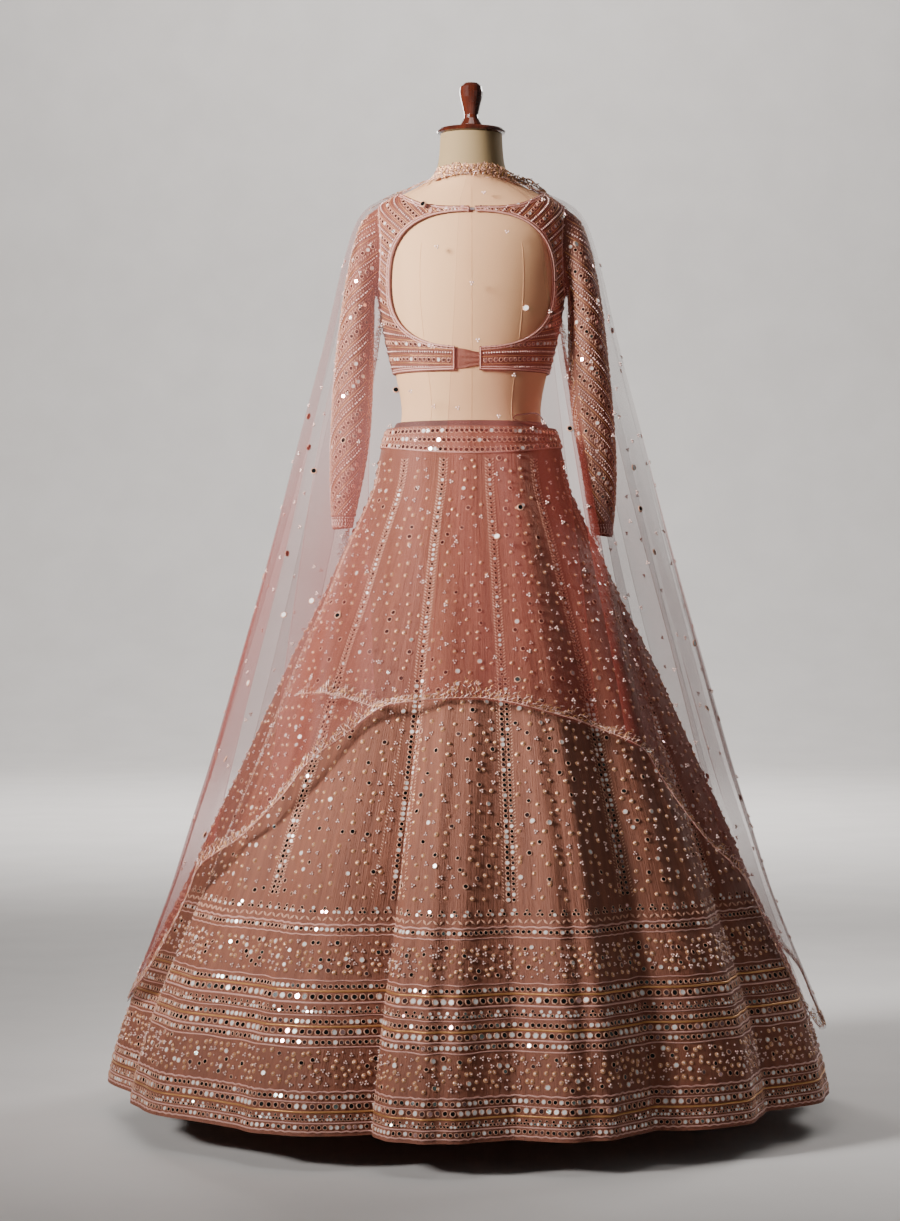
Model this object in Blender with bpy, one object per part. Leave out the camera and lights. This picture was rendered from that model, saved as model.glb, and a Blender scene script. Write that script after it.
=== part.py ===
"""A lehenga choli on a dress form: open-backed blouse with long sleeves, panelled skirt and net dupatta.

Metres, +Z up. +Y is the way the wearer faces, so the back of the garment looks towards -Y and
+X is the wearer's right. The origin is on the floor, at the middle of the stand's base.
Angles round the body are in degrees from the middle of the back, growing towards +X.
"""

import math
from collections import namedtuple

import bmesh
import bpy
from mathutils import Vector

# Driving sizes
FINIAL_TOP = 1.790
CAP_UNDERSIDE = 1.699
FORM_BOTTOM = 0.985
BASE_RADIUS = 0.210
BASE_THICKNESS = 0.014
POLE_RADIUS = 0.016
WAIST_TOP = 1.185
WAIST_SEAM = 1.151
WAIST_SAG = 0.015
HEM = 0.055
UNDERARM = 1.417
SHOULDER_TIP = 1.573
NECK_POINT = 1.592
CHOLI_HEM = 1.281

# Cloth thicknesses and clearances
CHOLI_WALL = 0.0015
SKIRT_WALL = 0.0020
BAND_WALL = 0.0025
NET_WALL = 0.0010
# The height to which the closing tab is gathered at its right end
TAB_GATHER = 1.3005
TAB_WALL = 0.0010
SEAM_GAP = 0.0003
CHOLI_CLEARANCE = 0.0022
SHOULDER_CLEARANCE = 0.0009

# The dress form: half width, depth behind the pole's axis and depth in front of it at each height
FormRow = namedtuple("FormRow", "z half_width back front")
FORM = (
    FormRow(0.985, 0.1640, 0.1250, 0.1080),
    FormRow(1.030, 0.1680, 0.1320, 0.1130),
    FormRow(1.070, 0.1690, 0.1350, 0.1150),
    FormRow(1.100, 0.1653, 0.1330, 0.1150),
    FormRow(1.130, 0.1520, 0.1200, 0.1110),
    FormRow(1.160, 0.1340, 0.1010, 0.1030),
    FormRow(1.200, 0.1190, 0.0850, 0.0940),
    FormRow(1.240, 0.1225, 0.0870, 0.0960),
    FormRow(1.281, 0.1320, 0.0940, 0.1010),
    FormRow(1.330, 0.1440, 0.1020, 0.1080),
    FormRow(1.377, 0.1540, 0.1080, 0.1140),
    FormRow(1.420, 0.1600, 0.1110, 0.1130),
    FormRow(1.460, 0.1635, 0.1100, 0.1050),
    FormRow(1.500, 0.1655, 0.1060, 0.0930),
    FormRow(1.540, 0.1660, 0.0940, 0.0780),
    FormRow(1.560, 0.1635, 0.0850, 0.0700),
    FormRow(1.573, 0.1575, 0.0775, 0.0640),
    FormRow(1.585, 0.1370, 0.0710, 0.0595),
    FormRow(1.597, 0.1130, 0.0655, 0.0560),
    FormRow(1.612, 0.0830, 0.0600, 0.0540),
    FormRow(1.630, 0.0620, 0.0570, 0.0530),
    FormRow(1.655, 0.0560, 0.0550, 0.0520),
    FormRow(1.6987, 0.0540, 0.0540, 0.0520),
)
BUST_HEIGHT = 1.385
BUST_SPREAD = 0.066
BUST_RADIUS = 0.058
BUST_RISE = 0.020

# The armhole, an oval on the form's side
ARMHOLE_HALF_HEIGHT = (SHOULDER_TIP - UNDERARM) / 2
ARMHOLE_MIDDLE = (SHOULDER_TIP + UNDERARM) / 2
ARMHOLE_BACK_DEG = 20.0
ARMHOLE_FRONT_DEG = 27.0

# The open back, a rounded oval drafted on the back view
OPENING_MIDDLE = 1.437
OPENING_HALF_HEIGHT = 0.1155
OPENING_HALF_WIDTH = 0.138
OPENING_SQUARENESS = 2.6
STRAP_END_LEFT = -0.0035
STRAP_END_RIGHT = 0.0055
BAND_END_LEFT = -0.028
BAND_END_RIGHT = 0.013

# Back neckline: height at each distance from the middle of the back
NeckRow = namedtuple("NeckRow", "out z")
BACK_NECK = (
    NeckRow(0.000, 1.5616),
    NeckRow(0.050, 1.5625),
    NeckRow(0.085, 1.5690),
    NeckRow(0.107, 1.5800),
    NeckRow(0.120, 1.5920),
)
# Front neckline, from its lowest point: distance from the middle and height
FRONT_NECK = (
    NeckRow(0.000, 1.4520),
    NeckRow(0.030, 1.4535),
    NeckRow(0.055, 1.4590),
    NeckRow(0.075, 1.4700),
    NeckRow(0.088, 1.4880),
    NeckRow(0.097, 1.5150),
    NeckRow(0.104, 1.5450),
    NeckRow(0.112, 1.5755),
    NeckRow(0.117, 1.5850),
    NeckRow(0.1205, 1.5895),
)
# Each back is a strip round the open back. A row runs from its outer edge to the opening's edge,
# reached at a distance from the middle, on the upper or the lower half; bow bends the row upwards.
StripRow = namedtuple("StripRow", "deg z hole upper bow")
NECK_STRIP = ((0.018, 0.018), (0.036, 0.035), (0.053, 0.052), (0.070, 0.068), (0.085, 0.081), (0.098, 0.090))
SHOULDER_STRIP = (
    StripRow(50.0, 1.5815, 0.096, True, 1.1),
    StripRow(63.0, 1.5870, 0.100, True, 1.2),
    StripRow(77.0, 1.5905, 0.104, True, 1.5),
    StripRow(90.0, NECK_POINT, 0.108, True, 2.0),
    StripRow(90.0, 1.5830, 0.112, True, 2.2),
    StripRow(90.0, SHOULDER_TIP, 0.117, True, 2.3),
)
ARMHOLE_HOLES = (0.1195, 0.122, 0.127, 0.132, 0.1363, 0.1380, 0.1372, 0.1345, 0.1300)
SIDE_STRIP = (
    StripRow(90.0, UNDERARM, 0.125, False, 1.0),
    StripRow(90.0, 1.3950, 0.119, False, 1.0),
    StripRow(90.0, 1.3680, 0.112, False, 1.0),
    StripRow(90.0, 1.3400, 0.104, False, 1.0),
    StripRow(90.0, 1.3120, 0.096, False, 1.0),
    StripRow(90.0, CHOLI_HEM, 0.087, False, 1.0),
    StripRow(78.0, CHOLI_HEM, 0.078, False, 1.0),
    StripRow(66.0, CHOLI_HEM, 0.069, False, 1.0),
    StripRow(54.0, CHOLI_HEM, 0.059, False, 1.0),
    StripRow(42.0, CHOLI_HEM, 0.049, False, 1.0),
    StripRow(31.0, CHOLI_HEM, 0.040, False, 1.0),
    StripRow(21.0, CHOLI_HEM, 0.031, False, 1.0),
)

# Sleeves: the inner and the outer edge of each section, seen from behind
SleeveRow = namedtuple("SleeveRow", "inner_x inner_z outer_x outer_z half_depth")
SLEEVE_LEFT = (
    SleeveRow(0.1672, 1.4165, 0.1930, 1.5530, 0.0450),
    SleeveRow(0.1685, 1.4110, 0.2065, 1.5050, 0.0470),
    SleeveRow(0.1695, 1.4040, 0.2165, 1.4540, 0.0470),
    SleeveRow(0.1695, 1.3930, 0.2245, 1.4080, 0.0460),
    SleeveRow(0.1695, 1.3600, 0.2305, 1.3600, 0.0450),
    SleeveRow(0.1710, 1.2900, 0.2390, 1.2900, 0.0440),
    SleeveRow(0.1725, 1.2100, 0.2440, 1.2100, 0.0430),
    SleeveRow(0.1800, 1.1400, 0.2465, 1.1400, 0.0400),
    SleeveRow(0.1940, 1.0750, 0.2460, 1.0750, 0.0360),
    SleeveRow(0.2070, 1.0150, 0.2420, 1.0110, 0.0320),
)
SLEEVE_RIGHT = (
    SleeveRow(0.1672, 1.4165, 0.1930, 1.5530, 0.0450),
    SleeveRow(0.1685, 1.4110, 0.2080, 1.5050, 0.0470),
    SleeveRow(0.1695, 1.4040, 0.2190, 1.4540, 0.0470),
    SleeveRow(0.1695, 1.3930, 0.2275, 1.4080, 0.0460),
    SleeveRow(0.1690, 1.3600, 0.2330, 1.3600, 0.0450),
    SleeveRow(0.1690, 1.2900, 0.2410, 1.2900, 0.0440),
    SleeveRow(0.1740, 1.2100, 0.2480, 1.2100, 0.0430),
    SleeveRow(0.1880, 1.1400, 0.2535, 1.1400, 0.0400),
    SleeveRow(0.2020, 1.0750, 0.2530, 1.0750, 0.0350),
    SleeveRow(0.2165, 1.0020, 0.2460, 0.9980, 0.0300),
)

# The skirt: half width and half depth over the crowns of its flutes at each height
SkirtRow = namedtuple("SkirtRow", "z half_width half_depth")
SKIRT = (
    SkirtRow(0.055, 0.6290, 0.6250),
    SkirtRow(0.120, 0.6130, 0.6090),
    SkirtRow(0.200, 0.5850, 0.5810),
    SkirtRow(0.300, 0.5420, 0.5370),
    SkirtRow(0.400, 0.4930, 0.4860),
    SkirtRow(0.500, 0.4480, 0.4390),
    SkirtRow(0.600, 0.4000, 0.3890),
    SkirtRow(0.700, 0.3540, 0.3400),
    SkirtRow(0.800, 0.3080, 0.2910),
    SkirtRow(0.887, 0.2630, 0.2440),
    SkirtRow(0.970, 0.2250, 0.2030),
    SkirtRow(1.025, 0.1980, 0.1740),
    SkirtRow(1.090, 0.1700, 0.1440),
    SkirtRow(1.1487, 0.1585, 0.1290),
    SkirtRow(1.1850, 0.1480, 0.1175),
)
# The seams between the twelve kali panels. A flute's valley runs down each seam: how deep it is
# at the hem, how far its sides close over it, and how far its bottom is tucked to the left.
Seam = namedtuple("Seam", "waist_deg hem_deg valley pinch tuck")
SEAMS = (
    Seam(-79.0, -74.0, 0.034, 0.012, 0.000),
    Seam(-45.0, -42.0, 0.016, 0.006, 0.000),
    Seam(-17.0, -18.5, 0.062, 0.030, -0.024),
    Seam(11.0, 5.0, 0.036, 0.014, -0.010),
    Seam(42.0, 28.0, 0.046, 0.022, -0.014),
    Seam(76.0, 54.0, 0.044, 0.020, -0.012),
    Seam(106.0, 86.0, 0.036, 0.012, 0.000),
    Seam(135.0, 120.0, 0.040, 0.016, 0.000),
    Seam(162.0, 153.0, 0.040, 0.016, 0.000),
    Seam(189.0, 187.0, 0.040, 0.016, 0.000),
    Seam(217.0, 221.0, 0.042, 0.016, 0.000),
    Seam(247.0, 254.0, 0.036, 0.012, 0.000),
)
FLUTES_START = 0.10
VALLEY_SHARPNESS = 1.5
PANEL_COLUMNS = (0.0, 0.07, 0.15, 0.28, 0.5, 0.72, 0.85, 0.93, 1.0)
SKIRT_LEVELS = (1.120, 1.085, 1.030, 0.960, 0.860, 0.740, 0.600, 0.450, 0.300, 0.170, 0.055)

LINING_FOOT = 1.158
LINING_TOP = 1.1955
LINING_TOP_HALF_WIDTH = 0.1310
LINING_TOP_HALF_DEPTH = 0.1000
# The tie's loop, seen from behind
TIE_PATH = (
    (0.1265, 1.1945),
    (0.1235, 1.2010),
    (0.1190, 1.2080),
    (0.1130, 1.2112),
    (0.1040, 1.2105),
    (0.0950, 1.2085),
    (0.0850, 1.2068),
    (0.0760, 1.2060),
    (0.0716, 1.2005),
    (0.0760, 1.1955),
    (0.0880, 1.1930),
    (0.1000, 1.1920),
    (0.1130, 1.1905),
)
TIE_HALF_STRIP = 0.0014
TIE_LIFT = 0.0006
TIE_WALL = 0.0011

# The dupatta, worn as a cape: half width, depth behind and depth in front at each height
CapeRow = namedtuple("CapeRow", "z half_width back front")
CAPE = (
    CapeRow(0.090, 0.6270, 0.6230, 0.6230),
    CapeRow(0.200, 0.5900, 0.5860, 0.5860),
    CapeRow(0.300, 0.5500, 0.5420, 0.5420),
    CapeRow(0.400, 0.5120, 0.4920, 0.4920),
    CapeRow(0.500, 0.4800, 0.4460, 0.4500),
    CapeRow(0.600, 0.4480, 0.3960, 0.4080),
    CapeRow(0.700, 0.4200, 0.3480, 0.3680),
    CapeRow(0.800, 0.3930, 0.3000, 0.3300),
    CapeRow(0.900, 0.3660, 0.2500, 0.2940),
    CapeRow(1.000, 0.3400, 0.2050, 0.2600),
    CapeRow(1.100, 0.3150, 0.1700, 0.2300),
    CapeRow(1.200, 0.2900, 0.1500, 0.2050),
    CapeRow(1.300, 0.2640, 0.1370, 0.1850),
    CapeRow(1.400, 0.2400, 0.1280, 0.1600),
    CapeRow(1.450, 0.2290, 0.1235, 0.1420),
    CapeRow(1.500, 0.2155, 0.1170, 0.1210),
    CapeRow(1.535, 0.2042, 0.1070, 0.1030),
    CapeRow(1.560, 0.1903, 0.0960, 0.0880),
    CapeRow(1.575, 0.1740, 0.0880, 0.0780),
    CapeRow(1.588, 0.1480, 0.0810, 0.0710),
    CapeRow(1.602, 0.1110, 0.0710, 0.0640),
    CapeRow(1.616, 0.0840, 0.0650, 0.0600),
    CapeRow(1.640, 0.0630, 0.0600, 0.0565),
)
# Where its neck edge and its scalloped border run, round the body
EdgeRow = namedtuple("EdgeRow", "deg neck border")
CAPE_EDGES = (
    EdgeRow(-140.0, 1.580, 0.470),
    EdgeRow(-115.0, 1.592, 0.330),
    EdgeRow(-90.0, 1.609, 0.190),
    EdgeRow(-76.0, 1.613, 0.235),
    EdgeRow(-66.0, 1.616, 0.400),
    EdgeRow(-48.0, 1.622, 0.520),
    EdgeRow(-32.0, 1.628, 0.645),
    EdgeRow(-18.0, 1.632, 0.715),
    EdgeRow(0.0, 1.634, 0.725),
    EdgeRow(20.0, 1.632, 0.695),
    EdgeRow(38.0, 1.626, 0.640),
    EdgeRow(52.0, 1.620, 0.490),
    EdgeRow(64.0, 1.616, 0.380),
    EdgeRow(76.0, 1.613, 0.160),
    EdgeRow(90.0, 1.609, 0.165),
    EdgeRow(115.0, 1.592, 0.320),
    EdgeRow(140.0, 1.580, 0.470),
)
CapeFold = namedtuple("CapeFold", "deg width_deg rise")
CAPE_FOLDS = (
    CapeFold(-128.0, 7.0, 0.020),
    CapeFold(-104.0, 8.0, 0.022),
    CapeFold(-80.0, 5.0, 0.008),
    CapeFold(-60.0, 6.0, 0.018),
    CapeFold(-36.0, 5.0, 0.016),
    CapeFold(-13.0, 5.0, 0.014),
    CapeFold(14.0, 6.0, 0.012),
    CapeFold(37.0, 5.0, 0.016),
    CapeFold(58.0, 5.0, 0.020),
    CapeFold(80.0, 5.0, 0.008),
    CapeFold(103.0, 8.0, 0.022),
    CapeFold(128.0, 7.0, 0.020),
)
CAPE_SPLITS = (-140.0, -50.0, 50.0, 140.0)
CAPE_STEP_DEG = 6.0
CAPE_LEVELS = (0.0, 0.015, 0.035, 0.06, 0.09, 0.13, 0.19, 0.27, 0.37, 0.50, 0.64, 0.78, 0.90, 1.0)


def start_empty():
    for obj in list(bpy.data.objects):
        bpy.data.objects.remove(obj)


def material(name, colour, roughness, metallic=0.0):
    made = bpy.data.materials.new(name)
    made.use_nodes = True
    shader = made.node_tree.nodes["Principled BSDF"]
    shader.inputs["Base Color"].default_value = (*colour, 1.0)
    shader.inputs["Roughness"].default_value = roughness
    shader.inputs["Metallic"].default_value = metallic
    return made


class Table:
    """Smooth lookup in a table of rows: monotone cubic curves, which never overshoot the rows."""

    def __init__(self, rows):
        self.keys = [row[0] for row in rows]
        self.columns = [[row[c] for row in rows] for c in range(1, len(rows[0]))]
        self.slopes = [self.slopes_of(column) for column in self.columns]

    def slopes_of(self, column):
        steps = [b - a for a, b in zip(self.keys, self.keys[1:])]
        rises = [(b - a) / step for a, b, step in zip(column, column[1:], steps)]
        slopes = [rises[0]]
        for h0, h1, d0, d1 in zip(steps, steps[1:], rises, rises[1:]):
            if d0 * d1 <= 0.0:
                slopes.append(0.0)
                continue
            w0, w1 = 2 * h1 + h0, h1 + 2 * h0
            slopes.append((w0 + w1) / (w0 / d0 + w1 / d1))
        return [*slopes, rises[-1]]

    def at(self, key):
        key = min(max(key, self.keys[0]), self.keys[-1])
        i = max(n for n, low in enumerate(self.keys[:-1]) if low <= key)
        step = self.keys[i + 1] - self.keys[i]
        t = (key - self.keys[i]) / step
        found = []
        for column, slopes in zip(self.columns, self.slopes):
            found.append(
                column[i] * (1 + 2 * t) * (1 - t) ** 2
                + column[i + 1] * t * t * (3 - 2 * t)
                + step * t * (1 - t) * (slopes[i] * (1 - t) - slopes[i + 1] * t)
            )
        return found


FORM_TABLE = Table(FORM)
SKIRT_TABLE = Table(SKIRT)
CAPE_TABLE = Table(CAPE)
CAPE_EDGE_TABLE = Table(CAPE_EDGES)
BACK_NECK_TABLE = Table(BACK_NECK)
HALF_GAP_DEG = math.degrees(SEAM_GAP / 2 / 0.10)


def mix(a, b, share):
    return a + (b - a) * share


def smoothstep(low, high, value):
    t = min(max((value - low) / (high - low), 0.0), 1.0)
    return t * t * (3 - 2 * t)


def normal_of(surface, u, v, step_u, step_v):
    """The outward normal of a surface whose u runs towards +X at the back and whose v runs up."""
    along_u = surface(u + step_u, v) - surface(u - step_u, v)
    along_v = surface(u, v + step_v) - surface(u, v - step_v)
    return along_u.cross(along_v).normalized()


def form_point(deg, z):
    """A point on the dress form."""
    half_width, back, front = FORM_TABLE.at(z)
    turn = math.radians(deg)
    x = half_width * math.sin(turn)
    if math.cos(turn) >= 0.0:
        return Vector((x, -back * math.cos(turn), z))
    y = -front * math.cos(turn)
    rise = math.exp(-(((z - BUST_HEIGHT) / BUST_RADIUS) ** 2))
    cups = sum(math.exp(-(((x - side * BUST_SPREAD) / BUST_RADIUS) ** 2)) for side in (-1, 1))
    return Vector((x, y - BUST_RISE * rise * cups * math.cos(turn), z))


def on_form(deg, z, clearance):
    """A point clear of the form's surface, square to it."""
    return form_point(deg, z) + clearance * normal_of(form_point, deg, z, 0.5, 0.002)


def choli_clearance(deg, z):
    """The choli lies close on the shoulder seams, which carry it, and a little off the form below."""
    near_seam = math.exp(-(((abs(deg) - 90.0) / 6.0) ** 2)) * smoothstep(1.545, SHOULDER_TIP, z)
    return mix(CHOLI_CLEARANCE, SHOULDER_CLEARANCE, near_seam)


def worn(deg, z):
    """The outer face of the choli."""
    return on_form(deg, z, choli_clearance(deg, z) + CHOLI_WALL)


def degrees_at(out, z):
    """The angle on the choli's back whose distance from the middle, seen from behind, is out."""
    half_width = FORM_TABLE.at(z)[0]
    return math.degrees(math.asin(min(max(out / half_width, -1.0), 1.0)))


def armhole(turn, shrink=0.0):
    """(degrees, height) on the armhole's oval of the right side. Turn 0 is its front, 90 its top."""
    across = math.cos(math.radians(turn))
    half_deg = ARMHOLE_FRONT_DEG if across > 0 else ARMHOLE_BACK_DEG
    scale = 1.0 - shrink / ARMHOLE_HALF_HEIGHT
    z = ARMHOLE_MIDDLE + scale * ARMHOLE_HALF_HEIGHT * math.sin(math.radians(turn))
    return 90.0 + scale * half_deg * across, z


def wall(name, outer, inner, look, ring=False):
    """A closed solid between two grids of points of the same shape. Ring joins the columns' ends."""
    mesh = bmesh.new()
    grids = [[[mesh.verts.new(point) for point in row] for row in grid] for grid in (outer, inner)]
    rows, columns = len(outer), len(outer[0])
    last = columns if ring else columns - 1
    for j in range(rows - 1):
        for i in range(last):
            k = (i + 1) % columns
            for grid in grids:
                mesh.faces.new((grid[j][i], grid[j][k], grid[j + 1][k], grid[j + 1][i]))
    out, back = grids
    for i in range(last):
        k = (i + 1) % columns
        for j in (0, rows - 1):
            mesh.faces.new((out[j][i], out[j][k], back[j][k], back[j][i]))
    if not ring:
        for j in range(rows - 1):
            for i in (0, columns - 1):
                mesh.faces.new((out[j][i], out[j + 1][i], back[j + 1][i], back[j][i]))
    return finished(name, mesh, look)


def finished(name, mesh, look):
    """Turns a bmesh into a named object, with its faces pointing out."""
    bmesh.ops.recalc_face_normals(mesh, faces=mesh.faces)
    data = bpy.data.meshes.new(name)
    mesh.to_mesh(data)
    mesh.free()
    data.shade_smooth()
    data.set_sharp_from_angle(angle=math.radians(40))
    data.materials.append(look)
    obj = bpy.data.objects.new(name, data)
    bpy.context.scene.collection.objects.link(obj)
    return obj


def turned(name, profile, look, sides=32):
    """A solid turned round the pole's axis from (radius, height) points, bottom to top."""
    mesh = bmesh.new()
    rings = []
    for radius, z in profile:
        angles = [2 * math.pi * n / sides for n in range(sides)]
        rings.append([mesh.verts.new((radius * math.cos(a), radius * math.sin(a), z)) for a in angles])
    for low, high in zip(rings, rings[1:]):
        for n in range(sides):
            m = (n + 1) % sides
            mesh.faces.new((low[n], low[m], high[m], high[n]))
    mesh.faces.new(rings[0])
    mesh.faces.new(rings[-1])
    return finished(name, mesh, look)


# The dress form and its stand


def build_form(linen, wood, metal):
    levels = [row.z for row in FORM]
    degrees = [n * 360.0 / 36 for n in range(36)]
    mesh = bmesh.new()
    rings = [[mesh.verts.new(form_point(deg, z)) for deg in degrees] for z in levels]
    for low, high in zip(rings, rings[1:]):
        for n in range(len(degrees)):
            m = (n + 1) % len(degrees)
            mesh.faces.new((low[n], low[m], high[m], high[n]))
    mesh.faces.new(rings[0])
    mesh.faces.new(rings[-1])
    finished("form_torso", mesh, linen)
    cap = CAP_UNDERSIDE
    cap_profile = (
        (0.0545, cap),
        (0.0590, cap + 0.002),
        (0.0600, cap + 0.005),
        (0.0560, cap + 0.009),
        (0.0400, cap + 0.012),
    )
    turned("form_neck_cap", cap_profile, wood)
    foot = cap + 0.012 + SEAM_GAP
    finial_profile = (
        (0.0190, foot),
        (0.0200, foot + 0.004),
        (0.0165, foot + 0.009),
        (0.0125, foot + 0.016),
        (0.0120, foot + 0.022),
        (0.0150, foot + 0.036),
        (0.0190, foot + 0.052),
        (0.0205, foot + 0.062),
        (0.0190, foot + 0.071),
        (0.0120, FINIAL_TOP - 0.0015),
        (0.0060, FINIAL_TOP),
    )
    turned("form_finial", finial_profile, wood, sides=24)
    pole_foot = BASE_THICKNESS + 0.010 + SEAM_GAP
    turned("stand_pole", ((POLE_RADIUS, pole_foot), (POLE_RADIUS, FORM_BOTTOM - SEAM_GAP)), metal, sides=24)
    base_profile = (
        (BASE_RADIUS - 0.003, 0.0),
        (BASE_RADIUS, 0.003),
        (BASE_RADIUS, BASE_THICKNESS - 0.003),
        (BASE_RADIUS - 0.004, BASE_THICKNESS),
        (0.040, BASE_THICKNESS + 0.002),
        (0.030, BASE_THICKNESS + 0.010),
    )
    turned("stand_base", base_profile, metal, sides=48)


# The choli


def opening_height(out, upper):
    """The height of the open back's edge at a distance from the middle."""
    rest = 1.0 - min(abs(out) / OPENING_HALF_WIDTH, 1.0) ** OPENING_SQUARENESS
    rise = OPENING_HALF_HEIGHT * rest ** (1.0 / OPENING_SQUARENESS)
    return OPENING_MIDDLE + rise if upper else OPENING_MIDDLE - rise


def on_right(deg):
    """Keeps a point of a back panel its half of a gap short of the shoulder and side seams."""
    return min(deg, 90.0 - HALF_GAP_DEG)


def back_strip(strap_end, band_end):
    """The back panel's rows, from the strap's end over the shoulder and down the side to the band's."""
    rows = []
    for out, hole in ((strap_end, strap_end), *NECK_STRIP):
        z = BACK_NECK_TABLE.at(out)[0]
        rows.append(StripRow(degrees_at(out, z), z, hole, True, 1.0))
    rows += SHOULDER_STRIP
    for turn, hole in zip((100, *range(110, 251, 20)), ARMHOLE_HOLES):
        bow = {100: 1.95, 110: 1.65, 130: 1.45, 150: 1.3, 170: 1.15}.get(turn, 1.0)
        rows.append(StripRow(*armhole(turn), hole, turn < 200, bow))
    rows += SIDE_STRIP
    rows.append(StripRow(degrees_at(band_end, CHOLI_HEM), CHOLI_HEM, band_end, False, 1.0))
    return rows


def build_choli_back(cloth):
    shares = [n / 6 for n in range(7)]
    for side, name, strap_end, band_end in (
        (-1, "choli_back_left", -STRAP_END_LEFT, -BAND_END_LEFT),
        (1, "choli_back_right", STRAP_END_RIGHT, BAND_END_RIGHT),
    ):
        grid = []
        for row in back_strip(strap_end, band_end):
            edge_z = opening_height(row.hole, row.upper)
            edge_deg = degrees_at(row.hole, edge_z)
            grid.append([
                (side * on_right(mix(row.deg, edge_deg, s)), mix(row.z, edge_z, s**row.bow)) for s in shares
            ])
        build_patch(name, grid, cloth)


def build_patch(name, grid, cloth):
    """A choli piece from a grid of (degrees, height) on the form."""
    outer = [[worn(deg, z) for deg, z in row] for row in grid]
    inner = [[on_form(deg, z, choli_clearance(deg, z)) for deg, z in row] for row in grid]
    wall(name, outer, inner, cloth)


def build_choli_front(cloth):
    """Each front from its hem up to the shoulder seam, between its armhole and the middle."""
    side_deg = 90.0 + HALF_GAP_DEG
    middle_deg = 180.0 - HALF_GAP_DEG
    outer_path = [(side_deg, z) for z in (CHOLI_HEM, 1.305, 1.330, 1.355, 1.378, 1.398, UNDERARM)]
    outer_path += [armhole(turn) for turn in (*range(-70, 71, 20), 80, 85)]
    outer_path.append((side_deg, SHOULDER_TIP))
    inner_path = [(middle_deg, z) for z in (CHOLI_HEM, 1.303, 1.326, 1.350, 1.374, 1.398, 1.424)]
    inner_path += [(min(180.0 - degrees_at(row.out, row.z), middle_deg), row.z) for row in FRONT_NECK]
    inner_path.append((side_deg, NECK_POINT))
    shares = [n / 8 for n in range(9)]
    for side, name in ((-1, "choli_front_left"), (1, "choli_front_right")):
        grid = [
            [(mix(a[0], b[0], s) * side, mix(a[1], b[1], s)) for s in shares]
            for a, b in zip(outer_path, inner_path)
        ]
        build_patch(name, grid, cloth)


def build_choli_closures(cloth, metal):
    """The plain underlap that joins the band's ends, and the hook between the strap's ends."""
    tab_rows = (1.284, 1.294, 1.307, 1.3185)
    tab_columns = [mix(-0.034, 0.018, n / 4) for n in range(5)]
    tab_narrowing = (0.0, 0.0, 0.12, 0.36, 0.42)
    small_parts = (
        ("choli_back_tab", tab_rows, tab_columns, 0.0005, TAB_WALL, cloth),
        ("choli_neck_hook", (1.5550, 1.5592), (-0.0031, 0.0010, 0.0051), 0.0006, 0.0016, metal),
    )
    for name, rows, columns, lift, thickness, look in small_parts:
        grid = [[(x, z) for x in columns] for z in rows]
        if name == "choli_back_tab":
            grid = [[(x, mix(z, TAB_GATHER, s)) for x, s in zip(columns, tab_narrowing)] for z in rows]
        grid = [[(degrees_at(x, z), z) for x, z in row] for row in grid]
        outer = [[on_form(deg, z, lift + thickness) for deg, z in row] for row in grid]
        inner = [[on_form(deg, z, lift) for deg, z in row] for row in grid]
        wall(name, outer, inner, look)


def sleeve_surface(rows, side):
    """The sleeve's outer face, by turn round it (0 its front, 90 its outer edge) and by section."""
    tables = {}

    def surface(turn, section):
        turn %= 360.0
        if turn not in tables:
            deg, z = armhole(turn, shrink=SEAM_GAP)
            first = worn(deg, z)
            points = [(0, *first)]
            for n, row in enumerate(rows, 1):
                inner = Vector((row.inner_x, 0.0, row.inner_z))
                outer = Vector((row.outer_x, 0.0, row.outer_z))
                up = math.sin(math.radians(turn))
                point = (inner + outer) / 2 + (outer - inner) / 2 * up
                point.y = row.half_depth * math.cos(math.radians(turn))
                points.append((n, *point))
            tables[turn] = Table(points)
        x, y, z = tables[turn].at(section)
        return Vector((side * x, y, z))

    return surface


def build_sleeves(cloth):
    turns = [-70.0 + 20.0 * n for n in range(18)]
    for side, name, rows in ((-1, "sleeve_left", SLEEVE_LEFT), (1, "sleeve_right", SLEEVE_RIGHT)):
        surface = sleeve_surface(rows, side)
        sections = [n * 1.0 for n in range(len(rows) + 1)]
        outer = [[surface(turn, s) for turn in turns] for s in sections]
        inner = []
        for s, row in zip(sections, outer):
            centre = sum(row, Vector()) / len(row)
            step = 0.02 if s > 0 else 0.2
            normals = [normal_of(surface, turn, min(s + step, len(rows) - step), 1.0, step) for turn in turns]
            inner.append([
                point - CHOLI_WALL * math.copysign(1.0, normal.dot(point - centre)) * normal
                for point, normal in zip(row, normals)
            ])
        wall(name, outer, inner, cloth, ring=True)


# The lehenga


def seams_round(place):
    """The two seams on either side of a place, with the second one's angles above the first one's."""
    whole = math.floor(place)
    first, second = SEAMS[whole % 12], SEAMS[(whole + 1) % 12]
    if whole % 12 == 11:
        second = second._replace(waist_deg=second.waist_deg + 360.0, hem_deg=second.hem_deg + 360.0)
    return first, second


def waist_degrees(place):
    first, second = seams_round(place)
    return mix(first.waist_deg, second.waist_deg, place - math.floor(place))


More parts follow.
